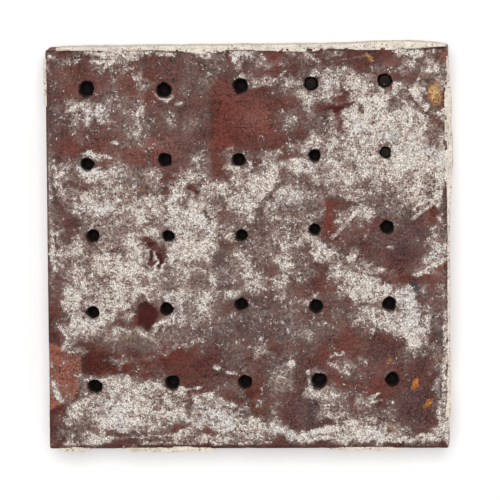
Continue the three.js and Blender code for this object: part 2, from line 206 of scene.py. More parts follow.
def slab_layer(top_cuts, rings):
    """A layer of the slab: a square sheet, its open edge drawn down through rings and then closed."""
    layer = bmesh.new()
    first_half, first_level = rings[0]
    bmesh.ops.create_grid(layer, x_segments=top_cuts, y_segments=top_cuts, size=first_half)
    bmesh.ops.translate(layer, vec=(0, 0, first_level), verts=layer.verts)
    if top_cuts == 1:
        bmesh.ops.subdivide_edges(layer, edges=layer.edges[:], cuts=WALL_CUTS)
    edges = [edge for edge in layer.edges if edge.is_boundary]
    for (half_before, level_before), (half, level) in zip(rings, rings[1:]):
        drawn = bmesh.ops.extrude_edge_only(layer, edges=edges)["geom"]
        verts = [part for part in drawn if isinstance(part, bmesh.types.BMVert)]
        edges = [part for part in drawn if isinstance(part, bmesh.types.BMEdge)]
        widen = half / half_before
        bmesh.ops.scale(layer, vec=(widen, widen, 1), verts=verts)
        bmesh.ops.translate(layer, vec=(0, 0, level - level_before), verts=verts)
    bmesh.ops.edgeloop_fill(layer, edges=edges)
    bmesh.ops.recalc_face_normals(layer, faces=layer.faces)
    for vert in layer.verts:
        round_the_plan(vert.co)
    return layer


def round_the_plan(place):
    """Moves a point so that the square gets round corners and the tile's slight error of squareness."""
    straight = half_width(place.z) - CORNER_ROUND
    over_x = abs(place.x) - straight
    over_y = abs(place.y) - straight
    if over_x > 0 and over_y > 0:
        pull = max(over_x, over_y) / math.hypot(over_x, over_y)
        place.x = math.copysign(straight + over_x * pull, place.x)
        place.y = math.copysign(straight + over_y * pull, place.y)
    place.y *= 1 + OUT_OF_SQUARE / 2 * place.x / (2 * FACE_HIGH.x * FACE_HIGH.x)


def new_piece(name, shape, slot, *nodes):
    """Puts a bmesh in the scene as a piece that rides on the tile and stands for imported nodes."""
    mesh = bpy.data.meshes.new(name)
    shape.to_mesh(mesh)
    shape.free()
    mesh.shade_smooth()
    piece = bpy.data.objects.new(name, mesh)
    bpy.context.scene.collection.objects.link(piece)
    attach(piece, "root")
    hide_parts(*nodes)
    return piece


def node_shape(node):
    """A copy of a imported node's mesh, its loose triangles merged."""
    shape = bmesh.new()
    shape.from_mesh(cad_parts[node].data)
    bmesh.ops.remove_doubles(shape, verts=shape.verts, dist=SAME_PLACE)
    return shape


def apply_modifiers(piece):
    """Takes a piece's modifiers into its mesh."""
    bpy.context.view_layer.update()
    finished = piece.evaluated_get(bpy.context.evaluated_depsgraph_get())
    piece.data = bpy.data.meshes.new_from_object(finished)
    piece.modifiers.clear()


def cut_away(piece, cutter):
    """Cuts a closed bmesh out of a piece."""
    mesh = bpy.data.meshes.new("cutter")
    cutter.to_mesh(mesh)
    tool = bpy.data.objects.new("cutter", mesh)
    bpy.context.scene.collection.objects.link(tool)
    cut = piece.modifiers.new("cut", "BOOLEAN")
    cut.operation = "DIFFERENCE"
    cut.solver = "MANIFOLD"
    cut.object = tool
    apply_modifiers(piece)
    bpy.data.objects.remove(tool)
    bpy.data.meshes.remove(mesh)


def points_of(mesh):
    """The places of a mesh's vertices, one row each."""
    points = np.empty(len(mesh.vertices) * 3)
    mesh.vertices.foreach_get("co", points)
    return points.reshape(-1, 3)


def normals_of(mesh):
    """The directions that a mesh's vertices face, one row each."""
    return np.array([corner.vector for corner in mesh.vertex_normals])


def move_points(mesh, points):
    """Puts a mesh's vertices at new places."""
    mesh.vertices.foreach_set("co", points.ravel())
    mesh.update()


def waves(points, size, octaves=3, seed=0):
    """Smooth unevenness from about -1 to 1 at each point, in swells of a size in metres."""
    shift = Vector((seed * 7.1, seed * 3.7, seed * 5.3))
    return np.array([noise.fractal(Vector(point) / size + shift, 1.0, 2.0, octaves) for point in points])


def soft_step(values, low, high):
    """Rises smoothly from 0 at low to 1 at high."""
    share = np.clip((values - low) / (high - low), 0, 1)
    return share * share * (3 - 2 * share)


def wear_clay(mesh, depth, chip_depth, seed):
    """Wears the sides of a clay layer back from their moulded shape, and chips its arrises."""
    points = points_of(mesh)
    normals = normals_of(mesh)
    rim = half_width(0) - np.maximum(abs(points[:, 0]), abs(points[:, 1]))
    height = np.minimum(points[:, 2] - FACE_LOW.z, BACK_TOP - points[:, 2])
    nearness = np.exp(-np.square(np.maximum(rim, height) / ARRIS_REACH))
    chips = soft_step(waves(points, CHIP_SIZE, 3, seed), 0.18, 0.6)
    drag = waves(points * DRAG_STRETCH, DRAG_SIZE, 2, seed + 1)
    worn = depth * (0.5 + 0.3 * waves(points, WEAR_SIZE, 3, seed + 2) + 0.2 * drag)
    worn = np.maximum(worn, 0) * soft_step(-rim, -WORN_WITHIN, -WORN_WITHIN / 2)
    worn += chip_depth * nearness * (0.12 + chips)
    move_points(mesh, points - normals * worn[:, None])


def paint(piece, material):
    """Gives a piece its one material, and keeps its arrises crisp in the light."""
    piece.data.set_sharp_from_angle(angle=CRISP_ANGLE)
    piece.data.materials.clear()
    piece.data.materials.append(material)


def plus(tree, first, second):
    """The sum of two values."""
    return maths(tree, "ADD", first, second)


def minus(tree, first, second):
    """One value less another."""
    return maths(tree, "SUBTRACT", first, second)


def coordinates(tree):
    """Places in the tile's frame, for a pattern that stays with the piece."""
    return shader_node(tree, "TexCoord").outputs["Object"]


def grain(tree, where, size, detail=2.0, roughness=0.5, swirl=0.0):
    """Random cloudiness between 0 and 1, with spots of a size in metres, swirled into flakes."""
    inputs = {"Vector": where, "Scale": 1 / size, "Detail": detail, "Roughness": roughness}
    return shader_node(tree, "TexNoise", inputs | {"Distortion": swirl}).outputs["Fac"]


def ramp(tree, value, low, high, floor=0.0, ceiling=1.0):
    """Turns a value smoothly from floor to ceiling as it rises from low to high."""
    inputs = {"Value": value, "From Min": low, "From Max": high, "To Min": floor, "To Max": ceiling}
    return shader_node(tree, "MapRange", inputs, interpolation_type="SMOOTHSTEP").outputs["Result"]


def blend(tree, amount, under, over, kind="MIX"):
    """Lays one colour over another by an amount."""
    inputs = {0: amount, 6: under, 7: over}
    return shader_node(tree, "Mix", inputs, data_type="RGBA", blend_type=kind).outputs[2]


def srgb(red, green, blue):
    """A colour in the steps from 0 to 255 that a screen shows, as a material needs it."""
    def light(step):
        share = step / 255
        return share / 12.92 if share <= 0.04045 else ((share + 0.055) / 1.055) ** 2.4
    return (light(red), light(green), light(blue), 1.0)


def new_group(name, inputs, outputs):
    """A node group with named sockets, given as (name, kind, usual value), and its two ends."""
    tree = bpy.data.node_groups.new(name, "ShaderNodeTree")
    for socket, kind, usual in inputs:
        made = tree.interface.new_socket(name=socket, in_out="INPUT", socket_type="NodeSocket" + kind)
        made.default_value = usual
    for socket, kind in outputs:
        tree.interface.new_socket(name=socket, in_out="OUTPUT", socket_type="NodeSocket" + kind)
    entry = tree.nodes.new("NodeGroupInput").outputs
    return tree, entry, tree.nodes.new("NodeGroupOutput").inputs


def use_group(tree, group, inputs):
    """Places a node group in a material and gives its outputs."""
    made = tree.nodes.new("ShaderNodeGroup")
    made.node_tree = group
    set_inputs(tree, made, inputs)
    return made.outputs


def new_material(name):
    """An empty material and its Principled shader."""
    material = bpy.data.materials.new(name)
    material.use_nodes = True
    tree = material.node_tree
    return material, tree, tree.nodes["Principled BSDF"].inputs


def join(tree, source, socket):
    """Links an output to an input."""
    tree.links.new(source, socket)


def bump(tree, height, depth, under=None):
    """A surface normal for a height between 0 and 1, as deep as depth in metres."""
    inputs = {"Height": height, "Distance": depth, "Strength": 1.0}
    if under is not None:
        inputs["Normal"] = under
    return shader_node(tree, "Bump", inputs).outputs["Normal"]


def stored(tree, name, output="Fac"):
    """Reads what is stored on the piece's vertices."""
    return shader_node(tree, "Attribute", attribute_name=name).outputs[output]


# The colours of the fired clay and of the lime on it, and the sizes of their grains, pits and patches.
LIME_COLOUR = srgb(242, 232, 220)
LIME_COOL = srgb(236, 230, 224)
HAZE_COLOUR = srgb(190, 166, 156)
FACE_CLAY = srgb(124, 70, 56)
PALE_GROG = (1.7, 2.1, 2.2, 1.0)
# Painted shade multiplied into the clay's pits and cracks.
VOID_PAINTED_SHADE = (0.2, 0.15, 0.15, 1.0)
# Painted shade multiplied into the pits in the lime.
LIME_PIT_PAINTED_SHADE = (0.18, 0.11, 0.1, 1.0)
WIPE_ANGLE = math.radians(-24)    # which way the soft clay was wiped smooth
WIPE_STRETCH = (0.2, 1, 1)
WIPE_WIDTH = 0.9 * MM
CLOUD_SIZE = 11 * MM
CLAY_GRAIN = 0.8 * MM
GROG_SIZE = 0.9 * MM
PIT_SIZE = 0.6 * MM
CRACK_SPACING = 3.2 * MM
LIME_CLUSTER = 2.2 * MM           # the film's white comes in clusters of grains and specks
LIME_GRAIN = 0.8 * MM
LIME_SPECK = 0.4 * MM
LIME_HOLE = 0.9 * MM
HAZE_MOTTLE = 1.2 * MM


def make_fired_clay():
    """Fired clay: cloudy and wiped in tone, with grog grains, and fine pits and hairline cracks that are
    darkened with painted shade.

    The grog's colour is a share of the clay's own, above 1 where the grains are paler than the clay.
    """
    tree, given, result = new_group(
        "fired_clay",
        [("Clay", "Color", FACE_CLAY), ("Grog", "Color", PALE_GROG), ("Grog Share", "Float", 0.1),
         ("Void Share", "Float", 0.1)],
        [("Colour", "Color"), ("Height", "Float")])
    where = coordinates(tree)
    clouds = grain(tree, where, CLOUD_SIZE, 4, 0.6)
    fine = grain(tree, where, CLAY_GRAIN, 3, 0.75)
    tone = plus(tree, ramp(tree, clouds, 0.3, 0.7, -0.16, 0.16), ramp(tree, fine, 0.34, 0.66, 0.62, 1.42))
    along_wipe = {"Vector": where, "Rotation": (0, 0, WIPE_ANGLE), "Scale": WIPE_STRETCH}
    streaks = grain(tree, shader_node(tree, "Mapping", along_wipe).outputs[0], WIPE_WIDTH, 3, 0.6)
    tone = plus(tree, tone, ramp(tree, streaks, 0.35, 0.65, -0.14, 0.14))
    colour = shader_node(tree, "HueSaturation", {"Value": tone, "Color": given["Clay"]}).outputs[0]
    cells = shader_node(tree, "TexVoronoi", {"Vector": where, "Scale": 1 / GROG_SIZE}).outputs["Distance"]
    picked = grain(tree, where, 1.3 * MM, 1)
    grog_limit = minus(tree, 0.74, times(tree, given["Grog Share"], 0.4))
    grog = times(tree, ramp(tree, cells, 0.42, 0.3),
                 ramp(tree, minus(tree, picked, grog_limit), -0.02, 0.02))
    grains = blend(tree, 1.0, colour, given["Grog"], "MULTIPLY")
    colour = blend(tree, times(tree, grog, 0.8), colour, grains)
    pits = grain(tree, where, PIT_SIZE, 3, 0.65)
    pit_limit = minus(tree, 0.8, times(tree, given["Void Share"], 0.4))
    rough = ramp(tree, grain(tree, where, 7 * MM, 2), 0.36, 0.62, 0.07, -0.03)
    pit_limit = plus(tree, pit_limit, rough)
    pits = ramp(tree, minus(tree, pits, pit_limit), -0.012, 0.02)
    line = maths(tree, "ABSOLUTE", minus(tree, grain(tree, where, CRACK_SPACING, 5, 0.65), 0.5))
    cracked = ramp(tree, grain(tree, where, 9 * MM, 2), 0.42, 0.6)
    cracks = times(tree, ramp(tree, line, 0.016, 0.004), cracked)
    voids = maths(tree, "MAXIMUM", pits, times(tree, cracks, given["Void Share"]))
    # Painted shade: the pits and cracks are darkened in colour.
    dark = blend(tree, 1.0, colour, VOID_PAINTED_SHADE, "MULTIPLY")
    join(tree, blend(tree, voids, colour, dark), result["Colour"])
    raised = plus(tree, times(tree, fine, 0.5), times(tree, grog, 0.15))
    join(tree, minus(tree, raised, times(tree, voids, 0.5)), result["Height"])
    return tree


def make_lime_film():
    """Old lime left on clay: a blotchy pale haze and white grains, pitted where they lie close, the pits
    darkened with painted shade.
    """
    tree, given, result = new_group(
        "lime_film",
        [("Under", "Color", FACE_CLAY), ("Density", "Float", 0.5), ("Lime", "Color", LIME_COLOUR),
         ("Haze", "Color", HAZE_COLOUR), ("Haze Share", "Float", 0.5)],
        [("Colour", "Color"), ("Mask", "Float"), ("Height", "Float")])
    where = coordinates(tree)
    clusters = grain(tree, where, LIME_CLUSTER, 5, 0.66, 0.6)
    grains = grain(tree, where, LIME_GRAIN, 3, 0.7, 0.8)
    specks = grain(tree, where, LIME_SPECK, 1, 0.6)
    field = plus(tree, times(tree, clusters, 0.46), times(tree, grains, 0.3))
    field = plus(tree, field, times(tree, specks, 0.24))
    limit = plus(tree, ramp(tree, given["Density"], 0, 1, 0.6, 0.455),
                 ramp(tree, given["Density"], 0, 0.12, 0.15, 0))
    over = minus(tree, field, limit)
    mask = ramp(tree, over, -0.008, 0.008)
    hazy = times(tree, ramp(tree, given["Density"], 0, 0.75), given["Haze Share"])
    mottle = ramp(tree, grain(tree, where, HAZE_MOTTLE, 4, 0.75), 0.42, 0.58, 0.3, 1.15)
    haze = times(tree, hazy, mottle)
    colour = blend(tree, haze, given["Under"], given["Haze"])
    shade = ramp(tree, grain(tree, where, 0.5 * MM, 3, 0.7), 0.38, 0.62, 0.54, 1.28)
    cast = blend(tree, ramp(tree, grain(tree, where, CLOUD_SIZE, 3), 0.36, 0.5), LIME_COOL, given["Lime"])
    lime = shader_node(tree, "HueSaturation", {"Value": shade, "Color": cast}).outputs[0]
    lime = blend(tree, ramp(tree, over, 0, 0.05, 0.45, 1), given["Haze"], lime)
    colour = blend(tree, mask, colour, lime)
    holes = ramp(tree, grain(tree, where, LIME_HOLE, 4, 0.7, 0.4), 0.56, 0.61)
    holed = times(tree, ramp(tree, given["Density"], 0.15, 0.6, 0, 0.9),
                  ramp(tree, given["Density"], 0.75, 1, 1, 0.55))
    holes = times(tree, holes, holed)
    # Painted shade: the pits in the lime are darkened in colour.
    pitted = blend(tree, 1.0, colour, LIME_PIT_PAINTED_SHADE, "MULTIPLY")
    join(tree, blend(tree, holes, colour, pitted), result["Colour"])
    join(tree, mask, result["Mask"])
    join(tree, times(tree, mask, ramp(tree, grains, 0.3, 0.7, 0.5, 1)), result["Height"])
    return tree


fired_clay = make_fired_clay()
lime_film = make_lime_film()


def limed_clay(name, grog, grog_share, void_share, haze_share, roughness, clay=None, density=None):
    """Fired clay under old lime.

    If no colour is given for the clay, or no density for the lime, it is read from the piece.
    """
    material, tree, shader = new_material(name)
    if clay is None:
        clay = stored(tree, "tint", "Color")
    if density is None:
        density = stored(tree, "lime")
        void_share = ramp(tree, density, 0.05, 0.4, 0.7 * void_share, 1.15 * void_share)
    body = use_group(tree, fired_clay, {"Clay": clay, "Grog": grog, "Grog Share": grog_share,
                                        "Void Share": void_share})
    film = use_group(tree, lime_film, {"Under": body["Colour"], "Density": density, "Lime": LIME_COLOUR,
                                       "Haze": HAZE_COLOUR, "Haze Share": haze_share})
    join(tree, film["Colour"], shader["Base Color"])
    under = bump(tree, body["Height"], 0.09 * MM)
    join(tree, bump(tree, film["Height"], 0.12 * MM, under), shader["Normal"])
    join(tree, ramp(tree, film["Mask"], 0, 1, roughness, 0.95), shader["Roughness"])
    shader["Specular IOR Level"].default_value = 0.25
    return material


face_paint = limed_clay("worn_face_clay", PALE_GROG, grog_share=0.06, void_share=0.1, haze_share=0.5,
                        roughness=0.6, clay=FACE_CLAY)

face_shape = slab_layer(1, wall_rings(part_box("core_layer")[0].z, FACE_LOW.z + ARRIS_ROUND)
                        + rounded_rings(FACE_LOW.z, False)[::-1][1:])
face_layer = new_piece("face_clay", face_shape, "face_clay", "face_layer")
inlay_nodes = [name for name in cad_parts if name.startswith("inlay_")]
recesses = bmesh.new()
for node in inlay_nodes:
    recess = node_shape(node)
    for vert in recess.verts:
        outward = Vector((vert.normal.x, vert.normal.y, 0)).normalized()
        vert.co += outward * RECESS_GAP
        vert.co.z = vert.co.z + RECESS_GAP if vert.co.z > MM else -MM
    recess_mesh = bpy.data.meshes.new("recess")
    recess.to_mesh(recess_mesh)
    recesses.from_mesh(recess_mesh)
    bpy.data.meshes.remove(recess_mesh)
cut_away(face_layer, recesses)
wear_clay(face_layer.data, depth=0.1 * MM, chip_depth=0.5 * MM, seed=1)
face_layer.modifiers.new("level_face", "WEIGHTED_NORMAL").keep_sharp = True


def store_number(mesh, name, values):
    """Stores one number for each vertex, for a material to read."""
    stored_values = mesh.attributes.new(name, "FLOAT", "POINT")
    stored_values.data.foreach_set("value", np.asarray(values, np.float32))


def side_lime(points):
    """How much mortar is left on the sides of the slab: more to the north and the east, in patches."""
    patches = waves(points, 14 * MM, 4, 40)
    lean = 0.1 * soft_step(points[:, 1], 60 * MM, 76 * MM) + 0.1 * soft_step(points[:, 0], 60 * MM, 76 * MM)
    return np.clip(0.28 + lean + 0.5 * patches, 0, 1) * soft_step(points[:, 2], 0.3 * MM, 5 * MM)


store_number(face_layer.data, "lime", side_lime(points_of(face_layer.data)))
paint(face_layer, face_paint)

# The pattern
# Pale clay was poured into the recesses and scraped flush. Each piece lies in its own recess with a
# fine line round it, where it shrank away from the red clay, and is worn a little hollow.

BUFF_CLAY = srgb(205, 176, 132)
DARK_SPECK = (0.35, 0.3, 0.25, 1.0)
INLAY_ARRIS = 0.12 * MM

buff_paint = limed_clay("worn_buff_clay", DARK_SPECK, grog_share=0.1, void_share=0.12, haze_share=0.3,
                        roughness=0.55, clay=BUFF_CLAY, density=0.03)
for node in inlay_nodes:
    inlay = node_shape(node)
    bmesh.ops.dissolve_limit(inlay, angle_limit=math.radians(1), verts=inlay.verts, edges=inlay.edges)
    mouth = [edge for edge in inlay.edges if max(vert.co.z for vert in edge.verts) < 0.1 * MM]
    bmesh.ops.bevel(inlay, geom=mouth, affect="EDGES", offset=INLAY_ARRIS, segments=2, profile=0.5,
                    material=-1)
    piece = new_piece("pattern_" + node.removeprefix("inlay_"), inlay, "buff_clay", node)
    paint(piece, buff_paint)

# The core layer
# Coarse clay fills the middle of the slab. Grog and small voids roughen its sides, and the lower ends
# of the key holes run into it.

COARSE_CLAY = srgb(122, 80, 68)
# Painted shade down the key holes: darker from just under the mouth, near black deep in.
KEY_MOUTH_SHADE = srgb(78, 56, 48)
KEY_DEEP_SHADE = srgb(26, 20, 18)
KEY_SIDES = 28
KEY_WORN = 0.25 * MM              # how much wider than they were pressed the holes have worn
KEY_LIP = 0.3 * MM                # how far the soft lip at the mouth widens a hole
KEY_LIP_DEPTH = 0.8 * MM
KEY_TIP_DEPTH = 1.1 * MM
KEY_TIP_SHARE = 0.62              # radius near the tip, as a share of the radius under the lip
KEY_UNEVEN = 0.2                  # how far out of round a hole is, as a share of its radius
KEY_BUMPS = 2.2 * MM
PIN_OVERRUN = 2 * MM              # how far a pin stands over the back when it cuts


def packed_points(node):
    """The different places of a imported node's vertices."""
    return np.unique(points_of(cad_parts[node].data).round(6), axis=0)


def key_holes():
    """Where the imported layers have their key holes: each hole's tip and its radius at the mouth."""
    core_points = packed_points("core_layer")
    inside = core_points[core_points[:, 2] > core_points[:, 2].min() + 0.1 * MM]
    tips = inside[inside[:, 2] < inside[:, 2].min() + 0.01 * MM]
    back_points = packed_points("back_layer")
    mouths = back_points[back_points[:, 2] > BACK_TOP - 0.01 * MM]
    return [(tip, np.hypot(*(mouths[:, :2] - tip[:2]).T).min() + KEY_WORN) for tip in tips]


def key_pins():
    """The 25 tapered pins that made the holes, as one bmesh, none of them quite round or straight."""
    pins = bmesh.new()
    for tip, mouth in KEYS:
        radius = mouth - KEY_LIP
        blunt = radius * KEY_TIP_SHARE
        profile = [(0, tip[2]), (0.55 * blunt, tip[2] + 0.15 * KEY_TIP_DEPTH),
                   (0.9 * blunt, tip[2] + 0.5 * KEY_TIP_DEPTH), (blunt, tip[2] + KEY_TIP_DEPTH),
                   (0.5 * (radius + blunt), 0.5 * (tip[2] + BACK_TOP)),
                   (radius, BACK_TOP - KEY_LIP_DEPTH)]
        for turn in np.radians((25, 45, 65, 80)):
            profile.append((radius + KEY_LIP * (1 - math.cos(turn)),
                            BACK_TOP - KEY_LIP_DEPTH * (1 - math.sin(turn))))
        profile += [(mouth + 0.3 * MM, BACK_TOP + 0.12 * MM), (mouth + 0.3 * MM, BACK_TOP + PIN_OVERRUN),
                    (0, BACK_TOP + PIN_OVERRUN)]
        line = [pins.verts.new((tip[0] + across, tip[1], level)) for across, level in profile]
        edges = [pins.edges.new(pair) for pair in zip(line, line[1:])]
        bmesh.ops.spin(pins, geom=line + edges, cent=(tip[0], tip[1], 0), axis=(0, 0, 1),
                       angle=2 * math.pi, steps=KEY_SIDES, use_merge=True)
    bmesh.ops.remove_doubles(pins, verts=pins.verts, dist=SAME_PLACE)
    bmesh.ops.recalc_face_normals(pins, faces=pins.faces)
    for vert in pins.verts:
        tip = min(KEYS, key=lambda key: math.hypot(key[0][0] - vert.co.x, key[0][1] - vert.co.y))[0]
        out = Vector((vert.co.x - tip[0], vert.co.y - tip[1], 0))
        uneven = noise.fractal(Vector((vert.co.x, vert.co.y, vert.co.z / 3)) / KEY_BUMPS, 1.0, 2.0, 2)
        vert.co += out * KEY_UNEVEN * uneven
    return pins


def hole_distance(points):
    """How far each point is from the nearest key hole's mouth."""
    gaps = [np.hypot(points[:, 0] - tip[0], points[:, 1] - tip[1]) - mouth for tip, mouth in KEYS]
    return np.min(gaps, axis=0)


def shaded_down_holes(points, tint):
    """The colours given, darkened with painted shade for the points that lie down in a key hole, the more
    the deeper they lie.
    """
    in_hole = hole_distance(points) < 0.2 * MM
    for depth_shade, shallow, deep in ((KEY_MOUTH_SHADE, 0.2 * MM, MM), (KEY_DEEP_SHADE, 2 * MM, 8 * MM)):
        down = (soft_step(BACK_TOP - points[:, 2], shallow, deep) * in_hole)[:, None]
        tint = tint * (1 - down) + np.array(depth_shade) * down
    return tint


def store_colour(mesh, name, colours):
    """Stores one colour for each vertex, for a material to read."""
    stored_colours = mesh.attributes.new(name, "FLOAT_COLOR", "POINT")
    stored_colours.data.foreach_set("color", colours.astype(np.float32).ravel())


KEYS = key_holes()
core_paint = limed_clay("coarse_core_clay", PALE_GROG, grog_share=0.5, void_share=0.45, haze_share=0.5,
                        roughness=0.9)
CORE_LOW, CORE_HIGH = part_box("core_layer")
core_layer = new_piece("core_clay", slab_layer(1, wall_rings(CORE_HIGH.z, CORE_LOW.z)), "coarse_clay",
                       "core_layer")
cut_away(core_layer, key_pins())
wear_clay(core_layer.data, depth=0.28 * MM, chip_depth=0, seed=5)
core_points = points_of(core_layer.data)
in_key = hole_distance(core_points) < 0
store_number(core_layer.data, "lime", side_lime(core_points) * ~in_key)
store_colour(core_layer.data, "tint", shaded_down_holes(core_points, np.tile(COARSE_CLAY, (len(core_points), 1))))
paint(core_layer, core_paint)

# The back layer
# Fine red clay that keeps the face from warping. Twenty-five pins were pressed into it while it was
# soft, and a flake has broken off its west edge. Old lime mortar clings to it as film and grains.

BACK_CUTS = 236
back_shape = slab_layer(BACK_CUTS, rounded_rings(BACK_TOP, True)
                        + wall_rings(BACK_TOP - ARRIS_ROUND, BACK_LOW.z)[1:])
back_layer = new_piece("back_clay", back_shape, "back_clay", "back_layer")
cut_away(back_layer, key_pins())

